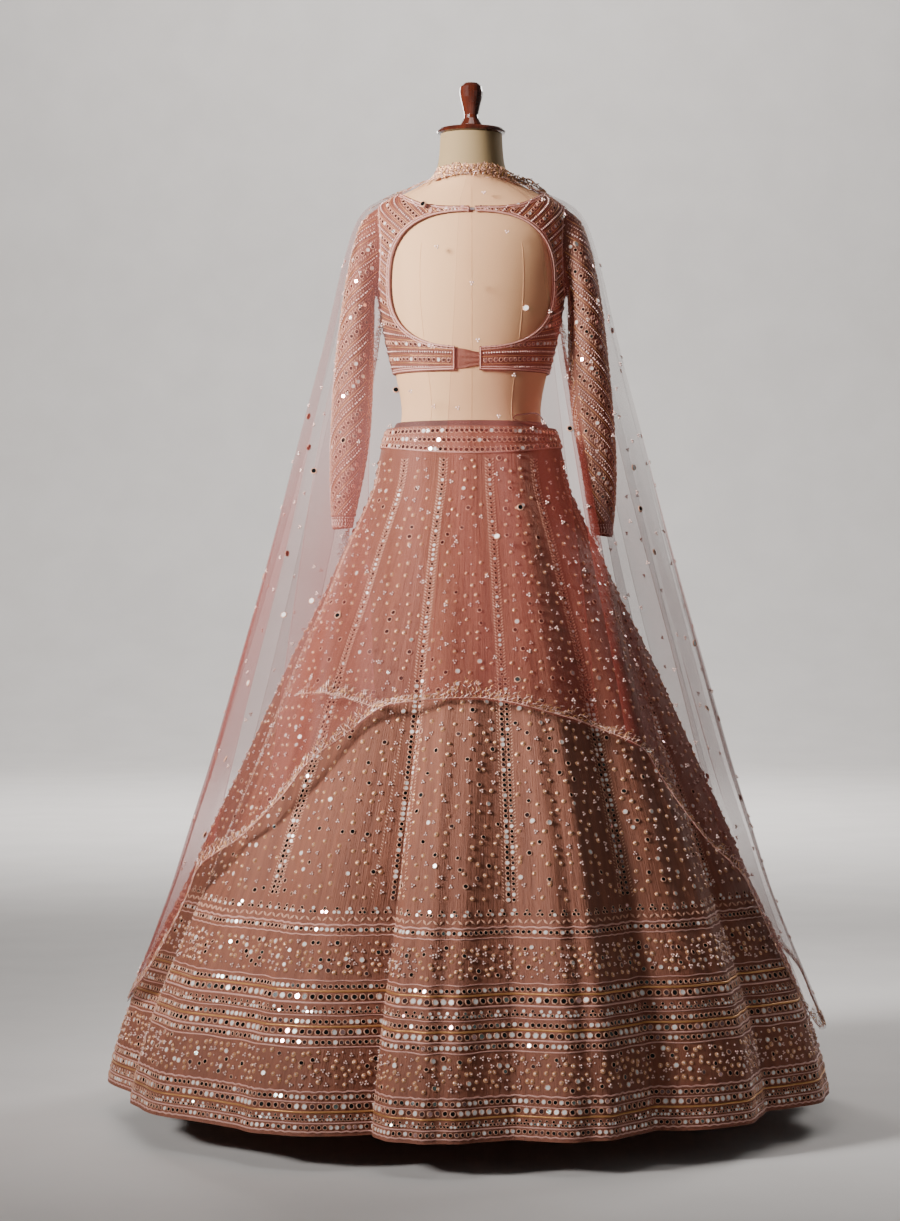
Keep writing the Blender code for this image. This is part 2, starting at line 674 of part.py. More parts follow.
def skirt_point(place, z):
    """The skirt's outer face. Place counts panels round it, so a whole number is a seam."""
    half_width, half_depth = SKIRT_TABLE.at(z)
    share = place - math.floor(place)
    first, second = seams_round(place)
    drop = (WAIST_SEAM - z) / (WAIST_SEAM - HEM)
    fall = max(drop, 0.0) ** 0.75
    start = mix(first.waist_deg, first.hem_deg, fall)
    end = mix(second.waist_deg, second.hem_deg, fall)
    grown = smoothstep(FLUTES_START, 1.0, drop) ** 0.7
    blend = smoothstep(0.0, 1.0, share)
    near = ((1.0 + math.cos(2 * math.pi * share)) / 2) ** VALLEY_SHARPNESS
    depth = mix(first.valley, second.valley, blend) * near * grown
    pinch = mix(first.pinch, second.pinch, blend) * math.sin(2 * math.pi * share) * near
    tuck = mix(first.tuck, second.tuck, blend) * near**2
    radius = (half_width + half_depth) / 2
    slide = math.degrees((pinch + tuck) * grown / radius)
    turn = math.radians(mix(start, end, share) - slide)
    return Vector(((half_width - depth) * math.sin(turn), -(half_depth - depth) * math.cos(turn), z))


def waist_seam(deg):
    """The height of the seam under the waistband, which sags at the back."""
    return WAIST_SEAM - WAIST_SAG * max(math.cos(math.radians(deg)), 0.0) ** 2


def inside_skirt(place, z):
    return skirt_point(place, z) - SKIRT_WALL * normal_of(skirt_point, place, z, 0.01, 0.002)


def build_skirt(cloth):
    for panel in range(12):
        edge = SEAM_GAP / 2 / (0.35 * math.radians(30.0))
        places = [panel + min(max(share, edge), 1.0 - edge) for share in PANEL_COLUMNS]
        grid = [[(place, waist_seam(waist_degrees(place)) - SEAM_GAP / 2) for place in places]]
        grid += [[(place, z) for place in places] for z in SKIRT_LEVELS]
        outer = [[skirt_point(place, z) for place, z in row] for row in grid]
        inner = [[inside_skirt(place, z) for place, z in row] for row in grid]
        for (place, top), point in zip(grid[0], inner[0]):
            point.z = top
        for point in inner[-1]:
            point.z = HEM
        wall(f"lehenga_panel_{panel + 1:02d}", outer, inner, cloth)


def oval_point(half_width, half_depth, deg, z):
    turn = math.radians(deg)
    return Vector((half_width * math.sin(turn), -half_depth * math.cos(turn), z))


def band_point(deg, z, inset):
    half_width, half_depth = SKIRT_TABLE.at(z)
    return oval_point(half_width - inset, half_depth - inset, deg, z)


def lining_point(deg, z, inset):
    """The lining's band leans in from the waistband's lower part towards the form's waist."""
    rise = (z - LINING_FOOT) / (LINING_TOP - LINING_FOOT)
    low_width, low_depth = (size - BAND_WALL - 0.0005 for size in SKIRT_TABLE.at(LINING_FOOT))
    half_width = mix(low_width, LINING_TOP_HALF_WIDTH, rise) - inset
    half_depth = mix(low_depth, LINING_TOP_HALF_DEPTH, rise) - inset
    return oval_point(half_width, half_depth, deg, z)


def build_waist(cloth, lining):
    """The waistband, and the lining's band that shows above it."""
    degrees = [n * 360.0 / 40 for n in range(40)]
    levels = [[waist_seam(deg) + SEAM_GAP / 2 for deg in degrees]]
    levels += [[z] * len(degrees) for z in (1.168, WAIST_TOP)]
    grids = [
        [[band_point(deg, z, inset) for deg, z in zip(degrees, row)] for row in levels]
        for inset in (0.0, BAND_WALL)
    ]
    wall("lehenga_waistband", *grids, cloth, ring=True)
    grids = [
        [[lining_point(deg, z, inset) for deg in degrees] for z in (LINING_FOOT, LINING_TOP)]
        for inset in (0.0, 0.0015)
    ]
    wall("lehenga_lining_band", *grids, lining, ring=True)


def build_tie(cloth):
    """The loop of the skirt's tie, which stands on the lining's band at the right of the back."""
    outer, inner = [], []
    for n, (x, z) in enumerate(TIE_PATH):
        before, after = TIE_PATH[max(n - 1, 0)], TIE_PATH[min(n + 1, len(TIE_PATH) - 1)]
        along = Vector((after[0] - before[0], after[1] - before[1])).normalized()
        across = Vector((-along.y, along.x)) * TIE_HALF_STRIP
        edge = [(x + side * across.x, z + side * across.y) for side in (-1, 0, 1)]
        outer.append([tie_point(px, pz, TIE_LIFT + TIE_WALL) for px, pz in edge])
        inner.append([tie_point(px, pz, TIE_LIFT) for px, pz in edge])
    wall("lehenga_tie", outer, inner, cloth)


def tie_point(x, z, lift):
    """A point on the surface that carries on upwards from the lining's band."""
    side = lining_point(90.0, z, -lift)
    return lining_point(math.degrees(math.asin(x / side.x)), z, -lift)


# The dupatta


def cape_point(deg, drop):
    """The dupatta's inner face, by angle and by share of the way down from its neck edge."""
    neck, border = CAPE_EDGE_TABLE.at(deg)
    z = mix(neck, border, drop)
    half_width, back, front = CAPE_TABLE.at(z)
    turn = math.radians(deg)
    depth = back if math.cos(turn) >= 0.0 else front
    grown = smoothstep(0.05, 0.95, drop)
    rise = sum(fold.rise * math.exp(-(((deg - fold.deg) / fold.width_deg) ** 2)) for fold in CAPE_FOLDS)
    out = rise * grown
    return Vector(((half_width + out) * math.sin(turn), -(depth + out) * math.cos(turn), z))


def build_dupatta(net):
    names = ("dupatta_left", "dupatta_back", "dupatta_right")
    for name, low, high in zip(names, CAPE_SPLITS, CAPE_SPLITS[1:]):
        count = round((high - low) / CAPE_STEP_DEG)
        degrees = [mix(low + HALF_GAP_DEG, high - HALF_GAP_DEG, n / count) for n in range(count + 1)]
        inner = [[cape_point(deg, drop) for deg in degrees] for drop in CAPE_LEVELS]
        outer = [
            [cape_point(deg, drop) - NET_WALL * normal_of(cape_point, deg, drop, 0.5, 0.004) for deg in degrees]
            for drop in CAPE_LEVELS
        ]
        wall(name, outer, inner, net)


def main():
    start_empty()
    linen = material("form_linen", (0.62, 0.50, 0.38), 0.9)
    wood = material("polished_wood", (0.16, 0.035, 0.015), 0.25)
    metal = material("stand_metal", (0.30, 0.30, 0.31), 0.35, 1.0)
    hook = material("hook_metal", (0.45, 0.33, 0.28), 0.35, 1.0)
    choli = material("choli_cloth", (0.46, 0.20, 0.15), 0.7)
    skirt = material("skirt_cloth", (0.50, 0.24, 0.18), 0.7)
    lining = material("lining_cloth", (0.10, 0.04, 0.035), 0.8)
    net = material("dupatta_net", (0.62, 0.26, 0.23), 0.6)
    build_form(linen, wood, metal)
    build_choli_back(choli)
    build_choli_front(choli)
    build_choli_closures(choli, hook)
    build_sleeves(choli)
    build_skirt(skirt)
    build_waist(skirt, lining)
    build_tie(choli)
    build_dupatta(net)


main()
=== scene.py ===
"""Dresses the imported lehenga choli: cloth, embroidery, net, dress form, studio.

Everything is in metres in the part's own frame: +Z up, the garment's back towards -Y. Angles round
the body are in degrees from the middle of the back, growing towards +X. A skirt place counts kali
panels round the skirt, so a whole number is a seam.
"""

import math
from collections import namedtuple

import bmesh
import bpy
import numpy as np
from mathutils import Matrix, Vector
from mathutils.bvhtree import BVHTree


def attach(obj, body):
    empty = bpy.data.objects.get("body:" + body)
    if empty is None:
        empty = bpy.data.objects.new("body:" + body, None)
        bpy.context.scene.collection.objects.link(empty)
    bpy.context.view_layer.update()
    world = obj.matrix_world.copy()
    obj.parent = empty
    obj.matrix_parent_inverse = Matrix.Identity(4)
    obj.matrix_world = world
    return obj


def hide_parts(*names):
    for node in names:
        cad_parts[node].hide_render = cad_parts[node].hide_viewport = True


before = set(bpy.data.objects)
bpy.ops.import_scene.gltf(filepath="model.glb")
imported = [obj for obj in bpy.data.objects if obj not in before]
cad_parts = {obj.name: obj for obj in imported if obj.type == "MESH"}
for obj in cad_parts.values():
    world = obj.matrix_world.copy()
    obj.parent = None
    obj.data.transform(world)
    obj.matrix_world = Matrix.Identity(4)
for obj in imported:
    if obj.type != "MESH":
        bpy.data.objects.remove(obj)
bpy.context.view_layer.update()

RANDOM = np.random.default_rng(20)

# Sizes repeated from the part
WAIST_TOP = 1.185
WAIST_SEAM = 1.151
WAIST_SAG = 0.015
HEM = 0.055
SKIRT_WALL = 0.0020
BAND_WALL = 0.0025
NET_WALL = 0.0008
PANELS = 12

# The skirt at its heights: half its width and half its depth
SKIRT = (
    (0.055, 0.629, 0.625), (0.12, 0.613, 0.609), (0.2, 0.585, 0.581), (0.3, 0.542, 0.537),
    (0.4, 0.493, 0.486), (0.5, 0.448, 0.439), (0.6, 0.4, 0.389), (0.7, 0.354, 0.34), (0.8, 0.308, 0.291),
    (0.887, 0.263, 0.244), (0.97, 0.225, 0.203), (1.025, 0.198, 0.174), (1.09, 0.17, 0.144),
    (1.1487, 0.1585, 0.129), (1.185, 0.148, 0.1175),
)
# Its seams: their angles at the waist and the hem, the valley's depth there, and how its sides
# close in and lean over
SEAMS = (
    (-79.0, -74.0, 0.034, 0.012, 0.0), (-45.0, -42.0, 0.016, 0.006, 0.0),
    (-17.0, -18.5, 0.062, 0.03, -0.024), (11.0, 5.0, 0.036, 0.014, -0.01),
    (42.0, 28.0, 0.046, 0.022, -0.014), (76.0, 54.0, 0.044, 0.02, -0.012), (106.0, 86.0, 0.036, 0.012, 0.0),
    (135.0, 120.0, 0.04, 0.016, 0.0), (162.0, 153.0, 0.04, 0.016, 0.0), (189.0, 187.0, 0.04, 0.016, 0.0),
    (217.0, 221.0, 0.042, 0.016, 0.0), (247.0, 254.0, 0.036, 0.012, 0.0), (281.0, 286.0, 0.034, 0.012, 0.0),
)
FLUTES_START = 0.10
VALLEY_SHARPNESS = 1.5
# The soft ripples that the fine skirt has between the part's flutes
RIPPLE = 0.0042
RIPPLE_INSET = 0.0012

# The cape's sizes, repeated from the part: at each height half its width, and its depth behind and in front
CAPE = (
    (0.09, 0.627, 0.623, 0.623), (0.2, 0.59, 0.586, 0.586), (0.3, 0.55, 0.542, 0.542),
    (0.4, 0.512, 0.492, 0.492), (0.5, 0.48, 0.446, 0.45), (0.6, 0.448, 0.396, 0.408),
    (0.7, 0.42, 0.348, 0.368), (0.8, 0.393, 0.3, 0.33), (0.9, 0.366, 0.25, 0.294), (1.0, 0.34, 0.205, 0.26),
    (1.1, 0.315, 0.17, 0.23), (1.2, 0.29, 0.15, 0.205), (1.3, 0.264, 0.137, 0.185),
    (1.4, 0.24, 0.128, 0.16), (1.45, 0.229, 0.1235, 0.142), (1.5, 0.2155, 0.117, 0.121),
    (1.535, 0.2042, 0.107, 0.103), (1.56, 0.1903, 0.096, 0.088), (1.575, 0.174, 0.088, 0.078),
    (1.588, 0.148, 0.081, 0.071), (1.602, 0.111, 0.071, 0.064), (1.616, 0.084, 0.065, 0.06),
    (1.64, 0.063, 0.06, 0.0565),
)
# At each angle, the heights of its neck edge and its border
CAPE_EDGES = (
    (-140.0, 1.58, 0.47), (-115.0, 1.592, 0.33), (-90.0, 1.609, 0.19), (-76.0, 1.613, 0.235),
    (-66.0, 1.616, 0.4), (-48.0, 1.622, 0.52), (-32.0, 1.628, 0.645), (-18.0, 1.632, 0.715),
    (0.0, 1.634, 0.725), (20.0, 1.632, 0.695), (38.0, 1.626, 0.64), (52.0, 1.62, 0.49), (64.0, 1.616, 0.38),
    (76.0, 1.613, 0.16), (90.0, 1.609, 0.165), (115.0, 1.592, 0.32), (140.0, 1.58, 0.47),
)
CapeFold = namedtuple("CapeFold", "deg width_deg rise")
CAPE_FOLDS = [CapeFold(*row) for row in (
    (-128.0, 7.0, 0.02), (-104.0, 8.0, 0.022), (-80.0, 5.0, 0.008), (-60.0, 6.0, 0.018),
    (-36.0, 5.0, 0.016), (-13.0, 5.0, 0.014), (14.0, 6.0, 0.012), (37.0, 5.0, 0.016), (58.0, 5.0, 0.02),
    (80.0, 5.0, 0.008), (103.0, 8.0, 0.022), (128.0, 7.0, 0.02),
)]

# Where the net lies double: the angles of each region's sides at its top and its foot, and how much more
# it covers there than a single layer
NetFold = namedtuple("NetFold", "low_top low_foot high_top high_foot cover")
NET_FOLDS = [NetFold(*row) for row in (
    (-66.0, -46.0, -45.0, -22.0, 1.0), (-112.0, -100.0, -73.0, -58.0, 1.6), (-6.0, -10.0, 33.0, 29.0, 0.8),
    (33.5, 34.5, 37.0, 38.0, 2.2), (41.0, 40.0, 45.0, 44.5, 2.2), (54.0, 56.0, 76.0, 73.0, 1.6),
    (82.0, 80.0, 104.0, 100.0, 1.4), (-136.0, -132.0, -120.0, -116.0, 1.0),
    (114.0, 112.0, 130.0, 126.0, 1.0),
)]

# The skirt's border: each row's height, what it is made of, its pitch and its size
Band = namedtuple("Band", "z kind pitch size")
BANDS = [Band(*row) for row in (
    (0.392, "triangle", 0.0205, 0.0036), (0.379, "stem", 0.0205, 0.006),
    (0.3701, "pink_wave", 0.024, 0.0032), (0.3629, "mirror", 0.009, 0.0044),
    (0.3545, "pink_wave", 0.012, 0.0022), (0.2865, "pink_wave", 0.009, 0.002),
    (0.2777, "mirror", 0.0091, 0.0044), (0.2708, "gold_braid", 0.006, 0.0038),
    (0.2619, "mirror", 0.0132, 0.006), (0.2532, "pink_cord", 0.03, 0.0034),
    (0.2425, "triangle", 0.0142, 0.0034), (0.2345, "pink_wave", 0.008, 0.0018),
    (0.2252, "mirror", 0.0097, 0.0046), (0.218, "gold_braid", 0.006, 0.0038),
    (0.2099, "mirror", 0.0128, 0.0056), (0.2025, "pink_cord", 0.03, 0.0034),
    (0.1947, "mirror", 0.0097, 0.0046), (0.1869, "pink_wave", 0.007, 0.0024),
    (0.1212, "pink_wave", 0.02, 0.003), (0.1134, "mirror", 0.0094, 0.0045),
    (0.1055, "pink_wave", 0.0075, 0.002), (0.0993, "mirror", 0.0122, 0.0053),
    (0.091, "gold_braid", 0.006, 0.0034), (0.082, "triangle", 0.011, 0.0029),
    (0.0742, "pink_cord", 0.03, 0.0026), (0.068, "mirror", 0.0094, 0.0042),
    (0.0613, "pink_wave", 0.016, 0.0028),
)]
# Zones of scattered motifs: the heights they lie between and how far apart they are
Zone = namedtuple("Zone", "low high pitch clear_of_seams")
ZONES = (
    Zone(0.405, 1.14, 0.0205, True),
    Zone(0.292, 0.35, 0.0134, False),
    Zone(0.127, 0.182, 0.0134, False),
)
# What is scattered there, and its size
MOTIFS = (("sequin", 0.0042), ("cluster", 0.0042), ("mirror", 0.0048), ("bead", 0.0017))
# How far apart the corners of a cord round the skirt are, and how leaf stitches lean, in radians
CORD_STEP = 0.0075
LEAN = 0.75
# The waistband's rows of mirrors
WAISTBAND_ROWS = (1.1765, 1.1665, 1.1565)

# The camera, and places in the photo in its pixels: mirrors and bead clusters on the net over the
# back, and the hem of the fold that lies over its left side
PHOTO_SIZE = (900, 1221)
LENS, SENSOR = 84.6, 36.0
CAMERA_PLACE = (-0.037, -5.0, 0.87)
# Mirrors on the net that get the glass painted near-black, and those that get the glass painted white:
# painted reflections.
NET_PAINTED_DARK_MIRRORS = ((423, 204), (396, 390), (314, 471), (640, 509))
NET_PAINTED_GLINT_MIRRORS = ((526, 308), (312, 601))
NET_CLUSTERS = (
    (484, 193), (507, 232), (437, 247), (472, 283), (433, 347), (478, 340), (514, 375), (458, 408),
    (544, 423), (550, 312), (383, 325), (543, 200), (598, 304), (608, 321), (620, 364), (567, 377),
    (614, 413),
)
FOLDED_HEM = ((297, 694), (322, 692), (345, 697), (372, 706))
# The angle at which the dupatta ends, and the leaves of a spray on its edge and the sprays' distance
CAPE_END = 140.0
SPRAY_LEAVES = 7
SPRAY_PITCH = 0.0078

# The form: the seam under its neck, and its upright seams by angle and top
NECK_SEAM = 1.640
FORM_SEAMS = (
    (0.0, 1.6), (34.0, 1.5), (-34.0, 1.5), (90.0, 1.6), (-90.0, 1.6), (146.0, 1.6), (-146.0, 1.6),
    (180.0, 1.6),
)
# The angle from which an edge is kept sharp
SHARP = math.radians(50)

# The choli's sizes repeated from the part, as it is seen from behind
CHOLI_HEM = 1.281
OPENING_MIDDLE = 1.437
OPENING_HALF_HEIGHT = 0.1155
OPENING_HALF_WIDTH = 0.1405
OPENING_SQUARENESS = 2.6
STRAP_ENDS = (-0.0035, 0.0055)
BAND_ENDS = (-0.028, 0.013)
BACK_NECK = ((0.000, 1.5616), (0.050, 1.5625), (0.085, 1.5690), (0.107, 1.5800), (0.1225, 1.5920))
FRONT_NECK = (
    (0.0, 1.452), (0.03, 1.4535), (0.055, 1.459), (0.075, 1.47), (0.088, 1.488), (0.097, 1.515),
    (0.104, 1.545), (0.112, 1.5755), (0.122, 1.5895),
)
ARMHOLE_MIDDLE = 1.495
ARMHOLE_HALF_HEIGHT = 0.078
ARMHOLE_BACK_DEG = 20.0
ARMHOLE_FRONT_DEG = 27.0
BODY_HALF_WIDTH = 0.155
BODY_HALF_DEPTH = 0.108

# The tab: the middle of its gathers and how deep they are
TAB_GATHER = 1.3005
TAB_WRINKLE = 0.0024

# How far apart rays and cords' corners are, and the height of a ray that is to miss
RAY_STEP = 0.0012
CORD_CORNER = 0.003
OUT_OF_REACH = 3.0

# The choli's rows of beads: the lowest one's height, the distance between them and their order
CHOLI_FIRST_ROW = 1.2895
CHOLI_ROW_PITCH = 0.0065
CHOLI_ROWS = ("pearl", "gold", "mirror", "gold")
# How far round from the back's middle its rows are placed, where they turn down and how steeply they rise
CHOLI_ROW_PLACE = 0.125
CHOLI_ROW_TURN = 0.205
CHOLI_ROW_RISE = math.radians(37.0)
CHOLI_FRONT_FALL = math.radians(25.0)

# The middle line of a sleeve, left and right: height and distance out
SLEEVE_MIDDLES = (
    ((1.000, 0.2260), (1.075, 0.2200), (1.140, 0.2130), (1.290, 0.2050), (1.380, 0.1990), (1.450, 0.1920),
     (1.500, 0.1860), (1.560, 0.1760)),
    ((1.000, 0.2310), (1.075, 0.2270), (1.140, 0.2210), (1.290, 0.2050), (1.380, 0.2000), (1.450, 0.1930),
     (1.500, 0.1870), (1.560, 0.1760)),
)
SLEEVE_CUFFS = (1.0130, 1.0005)
SLEEVE_RADIUS = 0.0385
# The chevrons: where their peaks stand round the sleeve, in degrees from its front outwards, and
# their rows, by height under the pearl row
CHEVRON_PEAK = 222.0
CHEVRON_PITCH = 0.094
ChevronRow = namedtuple("ChevronRow", "drop kind pitch size")
CHEVRON = [ChevronRow(*row) for row in (
    (0.0, "pearl", 0.005, 0.0019), (0.007, "gold", 0.005, 0.0012), (0.014, "stitch", 0.0052, 0.0027),
    (0.022, "mirror", 0.0112, 0.0043), (0.03, "stitch", 0.0052, 0.0027), (0.037, "gold", 0.005, 0.0012),
    (0.043, "pearl", 0.004, 0.0013), (0.05, "stitch", 0.0052, 0.0027), (0.058, "mirror", 0.0125, 0.0045),
    (0.066, "stitch", 0.0052, 0.0027), (0.073, "gold", 0.005, 0.0012), (0.08, "pearl", 0.004, 0.0013),
    (0.087, "stitch", 0.006, 0.0027),
)]

# The strips down the skirt's seams: single above, in pairs below. Each row's distance aside in half
# widths, and its pitch in the strip's own
STRIP_TOP, STRIP_PAIRS_TOP, STRIP_FOOT = 1.130, 0.760, 0.405
STRIP_HALF_WIDTH = 0.0085
STRIP_PITCH = 0.0088
StripRow = namedtuple("StripRow", "aside pitch kind size turn paired")
STRIP_ROWS = [StripRow(*row) for row in (
    (0.0, 1.0, "mirror", 0.0036, 0.0, False), (-0.45, 1.0, "mirror", 0.0046, 0.0, True),
    (0.62, 1.0, "mirror", 0.004, 0.0, True), (-0.7, 0.62, "stitch", 0.004, -LEAN, False),
    (0.7, 0.62, "stitch", 0.004, LEAN, False), (-1.2, 0.62, "stitch", 0.0028, -LEAN, True),
    (1.3, 0.62, "stitch", 0.0028, LEAN, True),
)]

# What each piece of cloth was cut from: width and length, and the cloth's own area within them
Sheet = namedtuple("Sheet", "piece flat area held rests_on with_pieces")


class Curves:
    """Monotone cubic curves through the rows of a table, by its first column."""

    def __init__(self, rows):
        table = np.array(rows, dtype=float)
        self.keys, self.values = table[:, 0], table[:, 1:]
        steps = np.diff(self.keys)[:, None]
        rises = np.diff(self.values, axis=0) / steps
        before, after = rises[:-1], rises[1:]
        same_way = before * after > 0
        safe_before, safe_after = np.where(same_way, before, 1), np.where(same_way, after, 1)
        first, second = 2 * steps[1:] + steps[:-1], steps[1:] + 2 * steps[:-1]
        inside = np.where(same_way, (first + second) / (first / safe_before + second / safe_after), 0)
        self.slopes = np.vstack([rises[:1], inside, rises[-1:]])

    def __call__(self, key):
        key = np.clip(key, self.keys[0], self.keys[-1])
        i = np.clip(np.searchsorted(self.keys, key, side="right") - 1, 0, len(self.keys) - 2)
        step = (self.keys[i + 1] - self.keys[i])[..., None]
        t = (key - self.keys[i])[..., None] / step
        low, high = self.values[i], self.values[i + 1]
        bend = step * t * (1 - t) * (self.slopes[i] * (1 - t) - self.slopes[i + 1] * t)
        return low * (1 + 2 * t) * (1 - t) ** 2 + high * t * t * (3 - 2 * t) + bend


SKIRT_CURVES, CAPE_CURVES, CAPE_EDGE_CURVES = Curves(SKIRT), Curves(CAPE), Curves(CAPE_EDGES)
SEAM_TABLE = np.array(SEAMS)


def smoothstep(low, high, value):
    t = np.clip((value - low) / (high - low), 0.0, 1.0)
    return t * t * (3 - 2 * t)


def mix(a, b, share):
    return a + (b - a) * share


def unit(vectors):
    return vectors / np.maximum(np.linalg.norm(vectors, axis=-1, keepdims=True), 1e-12)


def run_along(points):
    """How far along its path each point lies."""
    return np.concatenate([[0.0], np.cumsum(np.linalg.norm(np.diff(points, axis=0), axis=1))])


def oval(deg, half_width, half_depth, z):
    """Points round the body's axis."""
    turn = np.radians(deg)
    return np.stack(np.broadcast_arrays(half_width * np.sin(turn), -half_depth * np.cos(turn), z), -1)


def frames(shape, across, down, step, rise):
    """Points on a shape with their normals and their level tangents."""
    along = shape(across + step, down) - shape(across - step, down)
    upward = shape(across, down + rise) - shape(across, down - rise)
    return shape(across, down), unit(np.cross(along, upward)), unit(along)


def skirt(place, z):
    """Points on the skirt's outer face, with soft ripples between the flutes that the part has."""
    place, z = np.broadcast_arrays(np.asarray(place, float), np.asarray(z, float))
    half_width, half_depth = np.moveaxis(SKIRT_CURVES(z), -1, 0)
    whole = np.floor(place)
    share = place - whole
    index = np.mod(whole, PANELS).astype(int)
    first, second = np.moveaxis(SEAM_TABLE[index], -1, 0), np.moveaxis(SEAM_TABLE[index + 1], -1, 0)
    drop = (WAIST_SEAM - z) / (WAIST_SEAM - HEM)
    fall = np.maximum(drop, 0.0) ** 0.75
    grown = smoothstep(FLUTES_START, 1.0, drop) ** 0.7
    near = ((1.0 + np.cos(2 * np.pi * share)) / 2) ** VALLEY_SHARPNESS
    valley, pinch, tuck = mix(first[2:], second[2:], smoothstep(0.0, 1.0, share))
    wander = 3.0 * place + 0.45 * np.sin(2.3 * place) + 0.30 * np.sin(5.1 * place + 2.0 * z)
    ripple = RIPPLE * np.sin(2 * np.pi * wander) * (1.0 - near) * smoothstep(0.05, 0.8, drop)
    depth = valley * near * grown + RIPPLE_INSET - ripple
    slide = (pinch * np.sin(2 * np.pi * share) * near + tuck * near**2) * grown
    deg = mix(mix(first[0], first[1], fall), mix(second[0], second[1], fall), share)
    deg = deg - np.degrees(slide / ((half_width + half_depth) / 2))
    return oval(deg, half_width - depth, half_depth - depth, z)


def skirt_frames(place, z):
    return frames(skirt, place, z, 0.008, 0.002)


def skirt_shifted(place, z, right, up):
    """Places and heights moved along the cloth by lengths in metres."""
    per_place = np.linalg.norm(skirt(place + 0.005, z) - skirt(place - 0.005, z), axis=-1) / 0.01
    per_z = np.linalg.norm(skirt(place, z + 0.002) - skirt(place, z - 0.002), axis=-1) / 0.004
    return place + right / per_place, z + up / per_z


def skirt_ring(z, pitch, phase=0.0):
    """Places evenly spaced round the skirt at a height, about a pitch apart."""
    dense = np.linspace(0.0, PANELS, 2401)
    run = run_along(skirt(dense, z))
    count = round(run[-1] / pitch)
    return np.interp((np.arange(count) + phase) * run[-1] / count, run, dense)


# Materials


class Shader:
    """A Principled material and the nodes that feed it. Inputs are named with underscores for spaces."""

    def __init__(self, name, colour, roughness, metallic=0.0, **inputs):
        self.material = bpy.data.materials.new(name)
        self.material.use_nodes = True
        self.main = self.material.node_tree.nodes["Principled BSDF"]
        self.fill(self.main, Base_Color=(*colour, 1.0), Roughness=roughness, Metallic=metallic, **inputs)

    def join(self, value, socket):
        """Gives an input a value, or joins it to another node's output."""
        if isinstance(value, bpy.types.NodeSocket):
            self.material.node_tree.links.new(value, socket)
        else:
            socket.default_value = value

    def fill(self, node, **inputs):
        for name, value in inputs.items():
            self.join(value, node.inputs[name.replace("_", " ")])
        return node

    def node(self, kind, **inputs):
        return self.fill(self.material.node_tree.nodes.new("ShaderNode" + kind), **inputs)

    def calc(self, operation, *values):
        """A maths node on outputs and numbers."""
        node = self.node("Math")
        node.operation = operation
        for value, socket in zip(values, node.inputs):
            self.join(value, socket)
        return node.outputs[0]

    def stretched(self, source, scale):
        """Coordinates of a kind, such as UV or Object, scaled along each axis."""
        coordinates = self.node("TexCoord").outputs[source]
        return self.node("Mapping", Vector=coordinates, Scale=scale).outputs["Vector"]

    def noise(self, source, scale, detail=3.0, roughness=0.55):
        vector = self.stretched(source, scale)
        node = self.node("TexNoise", Vector=vector, Scale=1.0, Detail=detail, Roughness=roughness)
        return node.outputs["Fac"]

    def tint(self, factor, dark, light, low=0.35, high=0.65):
        """Base colour that goes from dark to light with a factor."""
        ramp = self.node("ValToRGB", Fac=factor)
        for element, place, colour in zip(ramp.color_ramp.elements, (low, high), (dark, light)):
            element.position = place
            element.color = (*colour, 1.0)
        self.fill(self.main, Base_Color=ramp.outputs["Color"])

    def bump(self, distance, *heights):
        """Bump from heights, given as (factor, share) pairs added together."""
        total = 0.0
        for factor, share in heights:
            total = self.calc("MULTIPLY_ADD", factor, share, total)
        node = self.node("Bump", Strength=1.0, Distance=distance, Height=total)
        self.fill(self.main, Normal=node.outputs["Normal"])


def plain_material(name, dark, light, roughness, scale, depth, metallic=0.0, **inputs):
    """A material whose colour and surface vary a little with a noise of a scale."""
    shader = Shader(name, light, roughness, metallic, **inputs)
    grain = shader.noise("Object", scale, 4.0)
    shader.tint(grain, dark, light)
    shader.bump(depth, (grain, 1.0))
    return shader.material


def georgette(name, dark, light, source):
    """Crinkled georgette. Its UVs, where it goes by them, are metres across and along the cloth."""
    shader = Shader(name, light, 0.66, Sheen_Weight=0.06, Sheen_Roughness=0.4)
    flat = source == "UV"
    lengthwise = shader.noise(source, (420.0, 14.0, 1.0) if flat else (420.0, 420.0, 14.0), 4.0, 0.6)
    broad = shader.noise(source, (60.0, 5.0, 1.0) if flat else (60.0, 60.0, 5.0))
    weave = shader.noise(source, (2600.0, 2600.0, 2600.0), 1.0)
    shader.tint(broad, dark, light, 0.30, 0.68)
    shader.bump(0.0016, (lengthwise, 1.0), (broad, 1.2), (weave, 0.15))
    return shader.material


